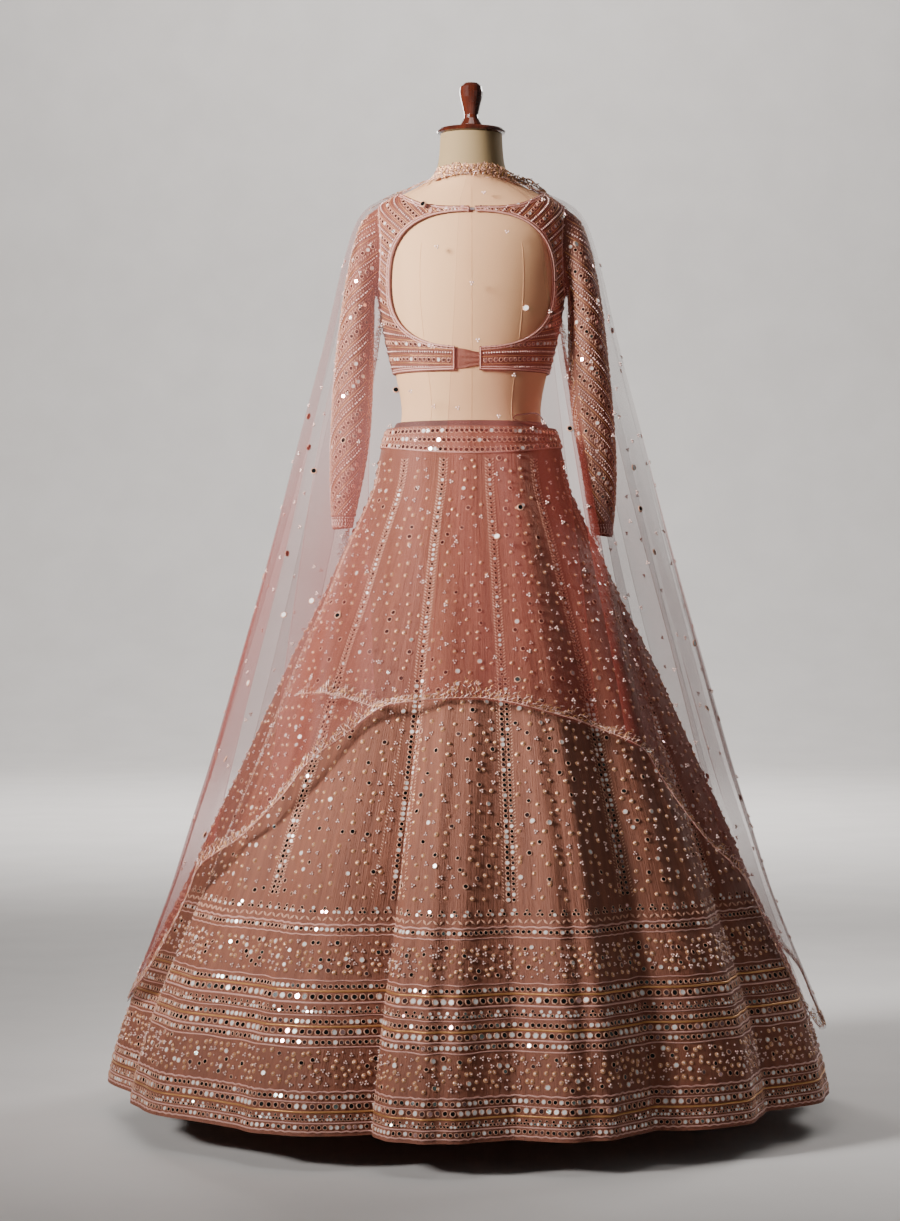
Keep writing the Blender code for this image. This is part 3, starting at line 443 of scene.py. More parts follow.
def net_material(name, colour, cover):
    """Sheer net. It covers more of what is behind it where it lies double and at the edges of its folds.

    Its UVs are hundredths of a degree round the body and the share of the way down.
    """
    shader = Shader(name, colour, 0.6, Sheen_Weight=0.05, Sheen_Roughness=0.5)
    calc = shader.calc
    mesh = shader.noise("UV", (260.0, 1500.0, 1.0), 1.0)
    shader.tint(mesh, tuple(0.8 * part for part in colour), colour)
    place = shader.node("SeparateXYZ", Vector=shader.stretched("UV", (100.0, 1.0, 1.0)))
    deg, drop = place.outputs["X"], place.outputs["Y"]
    total = calc("MULTIPLY_ADD", mesh, 0.6 * cover, 0.7 * cover)
    # Thin over the choli, and denser low at the sides
    lower = calc("SMOOTH_MIN", calc("MULTIPLY_ADD", drop, 4.0, -1.1), 1.0, 0.2)
    lower = calc("MAXIMUM", lower, 0.0)
    aside = calc("MULTIPLY", calc("GREATER_THAN", calc("ABSOLUTE", deg), 62.0), lower)
    total = calc("MULTIPLY_ADD", aside, 0.5 * cover, total)
    for fold in NET_FOLDS:
        low = calc("MULTIPLY_ADD", drop, fold.low_foot - fold.low_top, fold.low_top)
        high = calc("MULTIPLY_ADD", drop, fold.high_foot - fold.high_top, fold.high_top)
        low, high = calc("SUBTRACT", deg, low), calc("SUBTRACT", high, deg)
        inside = calc("MULTIPLY", calc("GREATER_THAN", low, 0.0), calc("GREATER_THAN", high, 0.0))
        total = calc("MULTIPLY_ADD", inside, fold.cover * cover, total)
        for edge in (low, high):
            rim = calc("MULTIPLY", calc("COMPARE", edge, 0.0, 0.22), inside)
            total = calc("MULTIPLY_ADD", rim, 1.6 * cover, total)
    total = calc("MULTIPLY", total, calc("MULTIPLY_ADD", lower, 0.52, 0.48))
    shader.fill(shader.main, Alpha=total)
    return shader.material


def linen_material(name, body, neck):
    """Linen whose neck, above the neck seam, is greyer than the body."""
    shader = Shader(name, body, 0.85)
    grain = shader.noise("Object", (900.0, 900.0, 500.0), 4.0)
    broad = shader.noise("Object", (9.0, 9.0, 4.0))
    place = shader.node("SeparateXYZ", Vector=shader.stretched("Object", (1.0, 1.0, 1.0)))
    above = shader.calc("GREATER_THAN", place.outputs["Z"], NECK_SEAM)
    mottled = shader.calc("MULTIPLY", shader.calc("ADD", grain, broad), 0.2)
    shader.tint(shader.calc("MULTIPLY_ADD", above, 0.6, mottled), body, neck, 0.20, 0.70)
    shader.bump(0.0003, (grain, 1.0))
    return shader.material


# Mesh building


def mesh_object(name, points, faces, looks, smooth=None, indices=None, uvs=None):
    data = bpy.data.meshes.new(name)
    data.from_pydata(points, [], faces)
    for look in looks:
        data.materials.append(look)
    if indices is not None:
        data.polygons.foreach_set("material_index", indices)
    data.polygons.foreach_set("use_smooth", np.full(len(data.polygons), True) if smooth is None else smooth)
    if uvs is not None:
        layer = data.uv_layers.new(name="cloth")
        corners = np.empty(len(data.loops), dtype=np.int32)
        data.loops.foreach_get("vertex_index", corners)
        layer.data.foreach_set("uv", uvs[corners].ravel())
    data.update()
    obj = bpy.data.objects.new(name, data)
    bpy.context.scene.collection.objects.link(obj)
    return obj


def cloth_wall(name, outer, inner, uv, look, nodes, ring=False):
    """A closed wall between two grids of points, that stands for nodes. Ring joins its ends."""
    rows, columns = outer.shape[:2]
    count = rows * columns
    number = np.arange(count).reshape(rows, columns)
    if ring:
        number = np.hstack([number, number[:, :1]])
    a, b, c, d = number[:-1, :-1], number[:-1, 1:], number[1:, 1:], number[1:, :-1]
    outside = np.stack([a, d, c, b], -1).reshape(-1, 4)
    inside = np.stack([a, b, c, d], -1).reshape(-1, 4) + count
    edges = [number[0], number[-1, ::-1]]
    if not ring:
        edges += [number[::-1, 0], number[:, -1]]
    rims = [np.stack([edge[:-1], edge[1:], edge[1:] + count, edge[:-1] + count], -1) for edge in edges]
    points = np.vstack([outer.reshape(-1, 3), inner.reshape(-1, 3)])
    uvs = np.vstack([uv.reshape(-1, 2)] * 2)
    obj = mesh_object(name, points, np.vstack([outside, inside, *rims]), [look], uvs=uvs)
    obj.data.set_sharp_from_angle(angle=SHARP)
    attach(obj, "root")
    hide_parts(*nodes)
    return obj


def finer(node, look, levels):
    """A subdivided copy of a CAD cloth node, with its rims kept sharp, that stands for it."""
    rough = bpy.data.objects[node].data.copy()
    if "custom_normal" in rough.attributes:
        rough.attributes.remove(rough.attributes["custom_normal"])
    mesh = bmesh.new()
    mesh.from_mesh(rough)
    bmesh.ops.remove_doubles(mesh, verts=mesh.verts, dist=2e-5)
    flat, skew = math.radians(25), math.radians(60)
    bmesh.ops.join_triangles(mesh, faces=mesh.faces, angle_face_threshold=flat, angle_shape_threshold=skew)
    crease = mesh.edges.layers.float.new("crease_edge")
    for edge in mesh.edges:
        edge.smooth = True
        if len(edge.link_faces) == 2 and edge.calc_face_angle() > SHARP:
            edge[crease] = 1.0
    mesh.to_mesh(rough)
    mesh.free()
    obj = bpy.data.objects.new(node + "_cloth", rough)
    bpy.context.scene.collection.objects.link(obj)
    subdivision = obj.modifiers.new("finer", "SUBSURF")
    subdivision.levels = subdivision.render_levels = levels
    shaped = bpy.data.meshes.new_from_object(obj.evaluated_get(bpy.context.evaluated_depsgraph_get()))
    obj.modifiers.clear()
    obj.data = shaped
    shaped.materials.clear()
    shaped.materials.append(look)
    shaped.shade_smooth()
    shaped.set_sharp_from_angle(angle=SHARP)
    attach(obj, "root")
    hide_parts(node)
    return obj


class Surface:
    """The outer faces of some pieces, found by rays."""

    def __init__(self, pieces):
        points, faces = [], []
        for piece in pieces:
            start = len(points)
            points += [vertex.co.copy() for vertex in piece.data.vertices]
            faces += [[start + v for v in face.vertices] for face in piece.data.polygons]
        self.tree = BVHTree.FromPolygons(points, faces)

    def hits(self, origins, targets):
        """Whether each ray meets an outer face on its way, where, and the face's normal."""
        found = []
        for origin, target in zip(origins, targets):
            ray = Vector(target - origin)
            point, normal, _, _ = self.tree.ray_cast(Vector(origin), ray, ray.length)
            outside = point is not None and normal.dot(ray) < -0.12 * ray.length
            found.append((*point, *normal) if outside else (math.nan,) * 6)
        table = np.array(found).reshape(-1, 6)
        return ~np.isnan(table[:, 0]), table[:, :3], table[:, 3:]


def smoothed(values):
    """Averages each row with its neighbours."""
    padded = np.vstack([values[:1], values, values[-1:]])
    return padded[:-2] * 0.25 + padded[1:-1] * 0.5 + padded[2:] * 0.25


# Ornaments


def ring_points(sides, radius, height, centre=(0.0, 0.0)):
    turns = 2 * np.pi * (np.arange(sides) + 0.5) / sides
    x, y = centre[0] + radius * np.cos(turns), centre[1] + radius * np.sin(turns)
    return np.stack([x, y, np.full(sides, height)], -1)


def ring_faces(low, high, sides):
    """Triangles between two rings that start at vertices low and high."""
    faces = []
    for n in range(sides):
        m = (n + 1) % sides
        faces += [(low + n, low + m, high + m), (low + n, high + m, high + n)]
    return faces


def fan(first, sides, apex):
    """Triangles from a ring to an apex."""
    return [(first + n, first + (n + 1) % sides, apex) for n in range(sides)]


Ornament = namedtuple("Ornament", "points faces looks smooth")
THREAD, MIRROR, SEQUIN, PEARL, GOLD, PINK, SPRAY = 0, 1, 5, 6, 7, 8, 9


def make_ornament(*parts):
    """Joins parts, each (points, faces, look, smooth)."""
    points, faces, looks, smooth = [], [], [], []
    start = 0
    for part_points, part_faces, look, is_smooth in parts:
        points.append(part_points)
        faces += [tuple(start + v for v in face) for face in part_faces]
        looks += [look] * len(part_faces)
        smooth += [is_smooth] * len(part_faces)
        start += len(part_points)
    return Ornament(np.vstack(points), np.array(faces), np.array(looks), np.array(smooth))


def bead_part(radius, height, centre=(0.0, 0.0), base=0.0, sides=5):
    points = np.vstack([
        ring_points(sides, 0.7 * radius, base, centre),
        ring_points(sides, radius, base + 0.45 * height, centre),
        [[centre[0], centre[1], base + height]],
    ])
    return points, ring_faces(0, sides, sides) + fan(sides, sides, 2 * sides), PEARL, True


def mirror_ornament():
    """A round mirror in a raised ring of thread. Its radius, ring included, is 1."""
    rings = np.vstack([ring_points(7, 1.0, 0.0), ring_points(7, 0.86, 0.36), ring_points(7, 0.70, 0.22)])
    thread = (rings, ring_faces(0, 7, 7) + ring_faces(7, 14, 7), THREAD, True)
    disc = [(0, n, n + 1) for n in range(1, 6)]
    return make_ornament(thread, (ring_points(7, 0.71, 0.24), disc, MIRROR, False))


def sequin_ornament():
    """A domed sequin held by a bead."""
    rings = np.vstack([ring_points(7, 1.0, 0.0), ring_points(7, 0.78, 0.30), [[0.0, 0.0, 0.36]]])
    dome = (rings, ring_faces(0, 7, 7) + fan(7, 7, 14), SEQUIN, True)
    return make_ornament(dome, bead_part(0.40, 0.55, base=0.22))


def cluster_ornament():
    """Three beads sewn as a triangle."""
    centres = [(0.55 * math.cos(t), 0.55 * math.sin(t)) for t in np.radians((90, 210, 330))]
    return make_ornament(*(bead_part(0.47, 0.75, centre, sides=4) for centre in centres))


def leaf_ornament(look, sides, crown, shift=0.0):
    """A flat leaf stitch, long along its own x axis. Its crown is half the ridge's length and its height."""
    half, height = crown
    points = [(-1.0, -shift, 0.05), (1.0, -shift, 0.05), (0.0, sides[0], 0.0), (0.0, sides[1], 0.0)]
    points += [(-half, 2 * shift / 3, height), (half, 2 * shift / 3, height)]
    faces = [(0, 2, 4), (0, 4, 3), (2, 5, 4), (3, 4, 5), (2, 1, 5), (1, 3, 5)]
    return make_ornament((np.array(points), faces, look, True))


ORNAMENTS = {
    "mirror": mirror_ornament(),
    "sequin": sequin_ornament(),
    "cluster": cluster_ornament(),
    "leaf": leaf_ornament(PEARL, (-0.36, 0.36), (0.4, 0.36)),
    "stitch": leaf_ornament(THREAD, (-0.36, 0.36), (0.4, 0.36)),
    "sprig": leaf_ornament(PEARL, (-0.10, 0.16), (0.3, 0.16), 0.06),
    "bead": make_ornament(bead_part(1.0, 1.5)),
}


class Embroidery:
    """Gathers ornaments and cords, and makes them into one mesh."""

    def __init__(self, shares):
        self.points, self.faces, self.looks, self.smooth = [], [], [], []
        self.count = 0
        self.shares = shares

    def add_mesh(self, points, faces, looks, smooth):
        self.points.append(points)
        self.faces.append(faces + self.count)
        self.looks.append(looks)
        self.smooth.append(smooth)
        self.count += len(points)

    def sew(self, kind, points, normals, tangents, size, turn=0.0, tilt=0.0, look=None):
        """Sews an ornament at each point. Turn is in radians round the normal."""
        ornament = ORNAMENTS[kind]
        number = len(points)
        if number == 0:
            return
        if tilt:
            normals = unit(normals + RANDOM.normal(0.0, tilt, normals.shape))
        sideways = unit(np.cross(normals, tangents))
        level = np.cross(sideways, normals)
        turn = np.broadcast_to(turn, number)[:, None]
        right = level * np.cos(turn) + sideways * np.sin(turn)
        up = sideways * np.cos(turn) - level * np.sin(turn)
        size = np.broadcast_to(size, number)[:, None, None]
        axes = np.stack([right, up, normals], 1)
        placed = points[:, None] + size * (ornament.points @ axes)
        faces = ornament.faces[None] + (np.arange(number) * len(ornament.points))[:, None, None]
        looks = np.tile(ornament.looks, (number, 1))
        shade = RANDOM.choice(4, number, p=self.shares)[:, None]
        looks = np.where(looks == MIRROR, MIRROR + shade, looks)
        if look is not None:
            looks = np.where(looks == PEARL, look, looks)
        smooth = np.tile(ornament.smooth, number)
        self.add_mesh(placed.reshape(-1, 3), faces.reshape(-1, 3), looks.ravel(), smooth)

    def cord(self, points, normals, width, height, look, closed=False):
        """A half-round cord along points."""
        ahead = np.roll(points, -1, axis=0) - np.roll(points, 1, axis=0)
        if not closed:
            ahead[0], ahead[-1] = points[1] - points[0], points[-1] - points[-2]
        side = unit(np.cross(normals, ahead))
        profile = ((-0.5, -0.1), (-0.3, 0.75), (0.3, 0.75), (0.5, -0.1))
        rings = np.stack([points + width * x * side + height * y * normals for x, y in profile], 1)
        number = np.arange(len(points) * 4).reshape(-1, 4)
        after = np.roll(number, -1, axis=0)
        if not closed:
            number, after = number[:-1], after[:-1]
        faces = []
        for n in range(3):
            faces.append(np.stack([number[:, n], number[:, n + 1], after[:, n + 1]], -1))
            faces.append(np.stack([number[:, n], after[:, n + 1], after[:, n]], -1))
        faces = np.vstack(faces)
        self.add_mesh(rings.reshape(-1, 3), faces, np.full(len(faces), look), np.full(len(faces), True))

    def path_cord(self, surface, rays, width, look):
        """A cord where the rays meet a surface. It breaks off where they miss."""
        good, points, normals = surface.hits(*rays)
        for run in np.split(np.arange(len(good)), np.flatnonzero(~good)):
            run = run[good[run]]
            if len(run) > 3:
                self.cord(smoothed(points[run]), unit(smoothed(normals[run])), width, 0.8 * width, look)

    def path_row(self, surface, rays, step, kind, pitch, size, turn=0.0):
        """Ornaments along a path of rays, each a step apart, where they meet a surface."""
        good, points, normals = surface.hits(*rays)
        if good.sum() < 4:
            return
        ahead = np.roll(points, -1, axis=0) - np.roll(points, 1, axis=0)
        inside = good & np.roll(good, 2) & np.roll(good, -2) & (np.linalg.norm(ahead, axis=1) < 5 * step)
        inside[:2] = inside[-2:] = False
        gaps = np.linalg.norm(points - np.roll(points, 1, axis=0), axis=1)
        run = np.cumsum(np.where(inside, np.nan_to_num(gaps), 0.0))
        first = np.floor(run / pitch) > np.floor(np.roll(run, 1) / pitch)
        own = np.flatnonzero(inside & first)
        self.sew(kind, points[own], normals[own], unit(ahead[own]), size, turn, 0.05)

    def build(self, name):
        points, faces, looks = np.vstack(self.points), np.vstack(self.faces), np.concatenate(self.looks)
        obj = mesh_object(name, points, faces, LOOKS, np.concatenate(self.smooth), looks)
        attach(obj, "root")
        return obj


# Shares of mirrors with a painted dark reflection, mirrors with a painted glint, smoky and rose mirrors, on
# the skirt and on the rest
SKIRT_SHARES = (0.40, 0.32, 0.14, 0.14)
FITTED_SHARES = (0.20, 0.15, 0.15, 0.50)
PAINTED_DARK_ONLY, PAINTED_GLINT_ONLY = (1.0, 0.0, 0.0, 0.0), (0.0, 1.0, 0.0, 0.0)
# How fine the grain of thread and of glass is, and the looks of the sewn work, with metal and coat last
TWISTED, GLASSY = (1400.0, 1400.0, 1400.0), (160.0, 160.0, 160.0)
LOOKS = [plain_material(*row[:7], Coat_Weight=row[7]) for row in (
    ("ring_thread", (0.48, 0.22, 0.14), (0.66, 0.36, 0.25), 0.5, TWISTED, 0.0004, 0.0, 0.0),
    # The next two looks are one mirror glass with its reflection painted in: near-black as a painted dark
    # reflection, white as a painted glint.
    ("mirror_glass_painted_dark", (0.008, 0.009, 0.009), (0.020, 0.022, 0.022), 0.08, GLASSY, 0.00002, 0.6, 0.0),
    ("mirror_glass_painted_glint", (0.96, 0.95, 0.94), (1.0, 1.0, 1.0), 0.20, GLASSY, 0.00002, 0.30, 0.5),
    ("mirror_smoke", (0.14, 0.19, 0.18), (0.24, 0.30, 0.28), 0.07, GLASSY, 0.00002, 1.0, 0.0),
    ("mirror_rose", (0.55, 0.32, 0.32), (0.72, 0.44, 0.44), 0.06, GLASSY, 0.00002, 1.0, 0.0),
    ("sequin_honey", (0.46, 0.21, 0.10), (0.66, 0.34, 0.18), 0.30, GLASSY, 0.00005, 0.35, 0.4),
    ("pearl_bead", (0.74, 0.46, 0.40), (0.90, 0.64, 0.58), 0.20, GLASSY, 0.00005, 0.0, 0.6),
    ("gold_thread", (0.48, 0.22, 0.08), (0.66, 0.33, 0.13), 0.35, TWISTED, 0.0003, 0.6, 0.0),
    ("pink_thread", (0.46, 0.21, 0.17), (0.70, 0.39, 0.33), 0.5, TWISTED, 0.0004, 0.0, 0.0),
    ("spray_thread", (0.20, 0.085, 0.050), (0.38, 0.18, 0.11), 0.5, TWISTED, 0.0004, 0.0, 0.0),
)]


# The lehenga


def waist_sag(deg):
    """How far the waist's seam sags behind."""
    return WAIST_SAG * np.maximum(np.cos(np.radians(deg)), 0.0) ** 2


def build_skirt(look):
    """The twelve kali panels as one fine wall."""
    columns, rows = 22 * PANELS, 58
    place = np.arange(columns) * PANELS / columns
    up = np.linspace(0.0, 1.0, rows)[:, None]
    panel = np.floor(place).astype(int)
    sag = waist_sag(mix(SEAM_TABLE[panel, 0], SEAM_TABLE[panel + 1, 0], place - panel))
    heights = HEM + (WAIST_SEAM - HEM) * up**0.95 - sag * smoothstep(0.93, 1.0, up)
    places = np.broadcast_to(place, heights.shape)
    outer, normals, _ = skirt_frames(places, heights)
    inner = outer - SKIRT_WALL * normals
    inner[0, :, 2] = HEM
    uv = np.stack([places * 0.33, (WAIST_SEAM - heights) * 1.09], -1)
    nodes = [f"lehenga_panel_{n:02d}" for n in range(1, PANELS + 1)]
    cloth_wall("lehenga_skirt", outer[::-1], inner[::-1], uv[::-1], look, nodes, ring=True)


def scatter_motifs(work, zone):
    """Sequins, bead clusters and small mirrors, spread evenly but not in line."""
    height = zone.low + zone.pitch / 2
    while height < zone.high:
        places = skirt_ring(height, zone.pitch, RANDOM.random())
        jitter = RANDOM.uniform(-0.27, 0.27, (2, len(places))) * zone.pitch
        places, heights = skirt_shifted(places, height, *jitter)
        if zone.clear_of_seams:
            per_place = 1.0 / (skirt_shifted(places, heights, 1.0, 0.0)[0] - places)
            kept = np.abs(places - np.round(places)) * per_place > 0.015
            places, heights = places[kept], heights[kept]
        points, normals, tangents = skirt_frames(places, heights)
        kinds = RANDOM.choice(4, len(places), p=(0.45, 0.28, 0.17, 0.10))
        turns = RANDOM.uniform(0, 2 * np.pi, len(places))
        for number, (kind, size) in enumerate(MOTIFS):
            own = kinds == number
            sizes = size * RANDOM.uniform(0.88, 1.12, own.sum())
            work.sew(kind, points[own], normals[own], tangents[own], sizes, turns[own], 0.10)
        height = skirt_shifted(0.5, height, 0.0, 0.87 * zone.pitch)[1]


def sew_band(work, band):
    """One row of the border."""
    if band.kind == "mirror":
        work.sew("mirror", *skirt_frames(skirt_ring(band.z, band.pitch), band.z), band.size, 0.0, 0.09)
    elif band.kind == "triangle":
        places = skirt_ring(band.z, band.pitch, 0.5)
        for right, up in ((0.0, 0.95), (-1.0, -0.75), (1.0, -0.75)):
            moved = skirt_shifted(places, band.z, right * band.size, up * band.size)
            work.sew("mirror", *skirt_frames(*moved), band.size, 0.0, 0.12)
    elif band.kind == "stem":
        places = skirt_ring(band.z, band.pitch / 2)
        turns = np.where(np.arange(len(places)) % 2 == 0, LEAN, -LEAN)
        work.sew("stitch", *skirt_frames(places, band.z), band.size, turns)
    else:
        places = skirt_ring(band.z, CORD_STEP)
        wave = 0.35 * band.size if band.kind == "pink_wave" else 0.0
        run = np.arange(len(places)) * CORD_STEP
        lift = wave * np.sin(2 * np.pi * run / band.pitch + 2.0 * np.sin(run * 17.0))
        points, normals, _ = skirt_frames(*skirt_shifted(places, band.z, 0.0, lift))
        look = GOLD if band.kind == "gold_braid" else PINK
        work.cord(points, normals, band.size, 0.45 * band.size + 0.0004, look, closed=True)


def sew_strip(work, seam):
    """The leaf and mirror strip down a seam between two panels."""
    dense = np.linspace(STRIP_TOP, STRIP_FOOT, 600)
    run = run_along(skirt(seam, dense))
    for row in STRIP_ROWS:
        low, high = (STRIP_FOOT, STRIP_PAIRS_TOP) if row.paired else (STRIP_PAIRS_TOP, STRIP_TOP)
        pitch = row.pitch * STRIP_PITCH
        heights = np.interp((np.arange(int(run[-1] / pitch)) + 0.5) * pitch, run, dense)
        heights = heights[(heights > low) & (heights <= high)]
        moved = skirt_shifted(seam, heights, row.aside * STRIP_HALF_WIDTH, 0.0)
        tilt = 0.12 if row.kind == "mirror" else 0.05
        work.sew(row.kind, *skirt_frames(*moved), row.size, row.turn, tilt)


def embroider_skirt():
    """The skirt's embroidery. Its upper part and its border are separate pieces."""
    upper = Embroidery(SKIRT_SHARES)
    scatter_motifs(upper, ZONES[0])
    upper.build("skirt_motifs")
    strips = Embroidery(SKIRT_SHARES)
    for seam in range(PANELS):
        sew_strip(strips, seam)
    strips.build("skirt_seam_strips")
    groups = ((BANDS[:5], ZONES[1:2]), (BANDS[5:12], ()), (BANDS[12:18], ()), (BANDS[18:], ZONES[2:]))
    for number, (bands, zones) in enumerate(groups, 1):
        work = Embroidery(SKIRT_SHARES)
        for band in bands:
            sew_band(work, band)
        for zone in zones:
            scatter_motifs(work, zone)
        work.build(f"skirt_border_{number}")


# The dupatta


def cape(deg, drop):
    """Points on the dupatta, by angle and by share of the way down from its neck edge."""
    deg, drop = np.broadcast_arrays(np.asarray(deg, float), np.asarray(drop, float))
    neck, border = np.moveaxis(CAPE_EDGE_CURVES(deg), -1, 0)
    z = mix(neck, border, drop)
    half_width, back, front = np.moveaxis(CAPE_CURVES(z), -1, 0)
    depth = np.where(np.cos(np.radians(deg)) >= 0.0, back, front)
    rise = sum(fold.rise * np.exp(-(((deg - fold.deg) / fold.width_deg) ** 2)) for fold in CAPE_FOLDS)
    ripple = np.sin(np.radians(deg) * 26.0 + 3.0 * np.sin(4.0 * drop)) * smoothstep(0.1, 0.7, drop)
    out = rise * smoothstep(0.05, 0.95, drop) + 0.0022 * ripple + 0.0005
    return oval(deg, half_width + out, depth + out, z)


def cape_frames(deg, drop):
    return frames(cape, deg, drop, 0.4, -0.003)


def cape_length(deg):
    """How long the dupatta hangs at an angle, from its neck edge to its border."""
    neck, border = np.moveaxis(CAPE_EDGE_CURVES(deg), -1, 0)
    return neck - border


def build_cape(look):
    drop = np.linspace(0.0, 1.0, 90) ** 1.25
    degrees, drops = np.meshgrid(np.linspace(-CAPE_END, CAPE_END, 225), drop)
    inner, normals, _ = cape_frames(degrees, drops)
    uv = np.stack([degrees * 0.01, drops], -1)
    nodes = ("dupatta_left", "dupatta_back", "dupatta_right")
    return cloth_wall("dupatta_net", inner + NET_WALL * normals, inner, uv, look, nodes)


def camera_rays(places):
    """Rays from the camera through places in the photo, given in its pixels."""
    places = np.asarray(places, float)
    per_pixel = SENSOR / LENS / PHOTO_SIZE[1]
    x = (places[:, 0] - PHOTO_SIZE[0] / 2) * per_pixel
    z = (PHOTO_SIZE[1] / 2 - places[:, 1]) * per_pixel
    origins = np.tile(CAMERA_PLACE, (len(places), 1))
    return origins, origins - CAMERA_PLACE[1] * np.stack([x, np.ones_like(x), z], -1)


def sew_cape_beads(surface):
    """Sparse beads and mirrors on the net, and those that the photo shows over the back."""
    work = Embroidery(SKIRT_SHARES)
    for number, drop in enumerate(np.arange(0.10, 0.99, 0.062)):
        for deg in np.arange(-136.0 + 7.0 * (number % 2), 137.0, 12.0):
            place = deg + RANDOM.uniform(-3.5, 3.5), drop + RANDOM.uniform(-0.02, 0.02)
            width = np.linalg.norm(cape(deg + 6.0, drop) - cape(deg - 6.0, drop))
            if RANDOM.random() > width / 0.085 or (abs(place[0]) < 48.0 and place[1] < 0.42):
                continue
            point, normal, tangent = (part[None] for part in cape_frames(*place))
            kind, size = ("mirror", 0.0060) if RANDOM.random() < 0.12 else ("cluster", 0.0042)
            work.sew(kind, point + NET_WALL * normal, normal, tangent, size, RANDOM.uniform(0, 6.28), 0.15)
    # The listed mirrors take only the painted dark reflection or only the painted glint, list by list.
    for kind, size, places, shares in (
        ("mirror", 0.0062, NET_PAINTED_DARK_MIRRORS, PAINTED_DARK_ONLY),
        ("mirror", 0.0062, NET_PAINTED_GLINT_MIRRORS, PAINTED_GLINT_ONLY),
        ("cluster", 0.0046, NET_CLUSTERS, PAINTED_GLINT_ONLY),
    ):
        work.shares = shares
        good, points, normals = surface.hits(*camera_rays(places))
        level = np.tile((1.0, 0.0, 0.0), (good.sum(), 1))
        work.sew(kind, points[good], normals[good], level, size, RANDOM.uniform(0, 6.28, good.sum()), 0.15)
    work.build("dupatta_beads")


def sew_folded_hem(work, surface):
    """Sprays where the photo shows the hem of a fold that lies over the net's left side."""
    good, points, normals = surface.hits(*camera_rays(dense_path(FOLDED_HEM, 2.6)))
    level = np.tile((1.0, 0.0, 0.0), (good.sum(), 1))
    for number in range(SPRAY_LEAVES):
        stem = 0.5 + 0.45 * np.sin(np.arange(good.sum()) * 0.9)
        moved = 0.0038 * number * np.stack([np.cos(stem), np.zeros_like(stem), np.sin(stem)], -1)
        turns = stem + (0.6 if number % 2 else -0.6)
        look = (THREAD, PEARL, SPRAY, GOLD)[number % 4]
        work.sew("sprig", points[good] + moved, normals[good], level, 0.0058, turns, 0.2, look)


def sew_neck_sprays(work):
    """Bunched leafy sprays that stand above the dupatta's neck edge."""
    points, normals, tangents = cape_frames(np.linspace(-50.0, 128.0, 800), 0.003)
    run = run_along(points)
    rows = ((-0.004, 0.0050), (0.000, 0.0052), (0.004, 0.0052), (0.008, 0.0046))
    for number, (lift, size) in enumerate(rows):
        own = np.searchsorted(run, np.arange(0.0010 * (number + 1), run[-1] - 0.001, 0.0026))
        height = lift * (1.0 + 0.35 * np.sin(run[own] * 70.0)) + RANDOM.normal(0.0, 0.0012, len(own))
        at = points[own] + 0.0022 * normals[own] + height[:, None] * (0.0, 0.0, 1.0)
        turns = RANDOM.uniform(0.2, 2.9, len(own))
        for first, look in enumerate((SPRAY, THREAD, SPRAY, GOLD)):
            part = slice(first, None, 4)
            work.sew("leaf", at[part], normals[own][part], tangents[own][part], size, turns[part], 0.3, look)


def sew_cape_edges(surface):
    """Leafy sprays along the dupatta's edges, each of a stem's worth of leaves, and a cord."""
    work = Embroidery(SKIRT_SHARES)
    sew_folded_hem(work, surface)
    sew_neck_sprays(work)
    end = CAPE_END - 0.4
    level = np.linspace(-end, end, 1600)
    lower = np.stack([level, np.full_like(level, 0.996)], -1)
    left = np.stack([np.full(500, -end), np.linspace(0.01, 0.996, 500)], -1)
    neck = np.stack([np.linspace(-end, end, 700), np.full(700, 0.003)], -1)
    right = left * (-1.0, 1.0)
    # Each path, how steeply its sprays lean inwards, and which way down the net that is
    for path, lean, way in ((lower, 1.0, -1.0), (left, 0.6, 0.0), (right, 0.6, 0.0), (neck, 0.8, 1.0)):
        points, normals, _ = cape_frames(*path.T)
        run = run_along(points)
        starts = np.arange(0.004, run[-1] - 0.004, SPRAY_PITCH)
        starts = starts + RANDOM.uniform(-0.0015, 0.0015, len(starts))
        stem = 0.75 + 0.40 * np.sin(starts * 21.0) + 0.25 * np.sin(starts * 67.0)
        stem = stem + RANDOM.uniform(-0.2, 0.2, len(starts))
        reach = RANDOM.uniform(0.7, 1.15, len(starts)) * (1.0 + 0.3 * np.sin(starts * 34.0))
        for number in range(SPRAY_LEAVES):
            out = 0.0040 * number * reach
            own = np.minimum(np.searchsorted(run, starts + out * np.cos(stem)), len(run) - 1)
            inward = (0.0016 + out * np.sin(stem)) * lean
            deg, drop = path[own].T
            if way:
                drop = drop + way * inward / np.maximum(cape_length(deg), 0.05)
            else:
                across = np.linalg.norm(cape(deg + 0.5, drop) - cape(deg - 0.5, drop), axis=1)
                deg = deg - np.sign(deg) * inward / across
            at, outward, along = cape_frames(deg, drop)
            at = at + NET_WALL * outward
            turns = stem + (0.65 if number % 2 else -0.45) + RANDOM.uniform(-0.25, 0.25, len(own))
            sizes = (0.0066 - 0.0004 * number) * RANDOM.uniform(0.85, 1.25, len(own))
            for first, look in enumerate((THREAD, PEARL, SPRAY, GOLD)):
                part = slice((first + number) % 4, None, 4)
                work.sew("sprig", at[part], outward[part], along[part], sizes[part], turns[part], 0.25, look)
        cord = points[::2] + 0.5 * NET_WALL * normals[::2]
        work.cord(cord, normals[::2], 0.0012, 0.0012, PINK)
    work.build("dupatta_edging")


# The choli


def arc_degrees():
    """Angles from 0 to 180 degrees, and how far round the body from the middle of its back each is."""
    deg = np.linspace(0.0, 180.0, 361)
    return deg, run_along(oval(deg, BODY_HALF_WIDTH, BODY_HALF_DEPTH, 0.0))


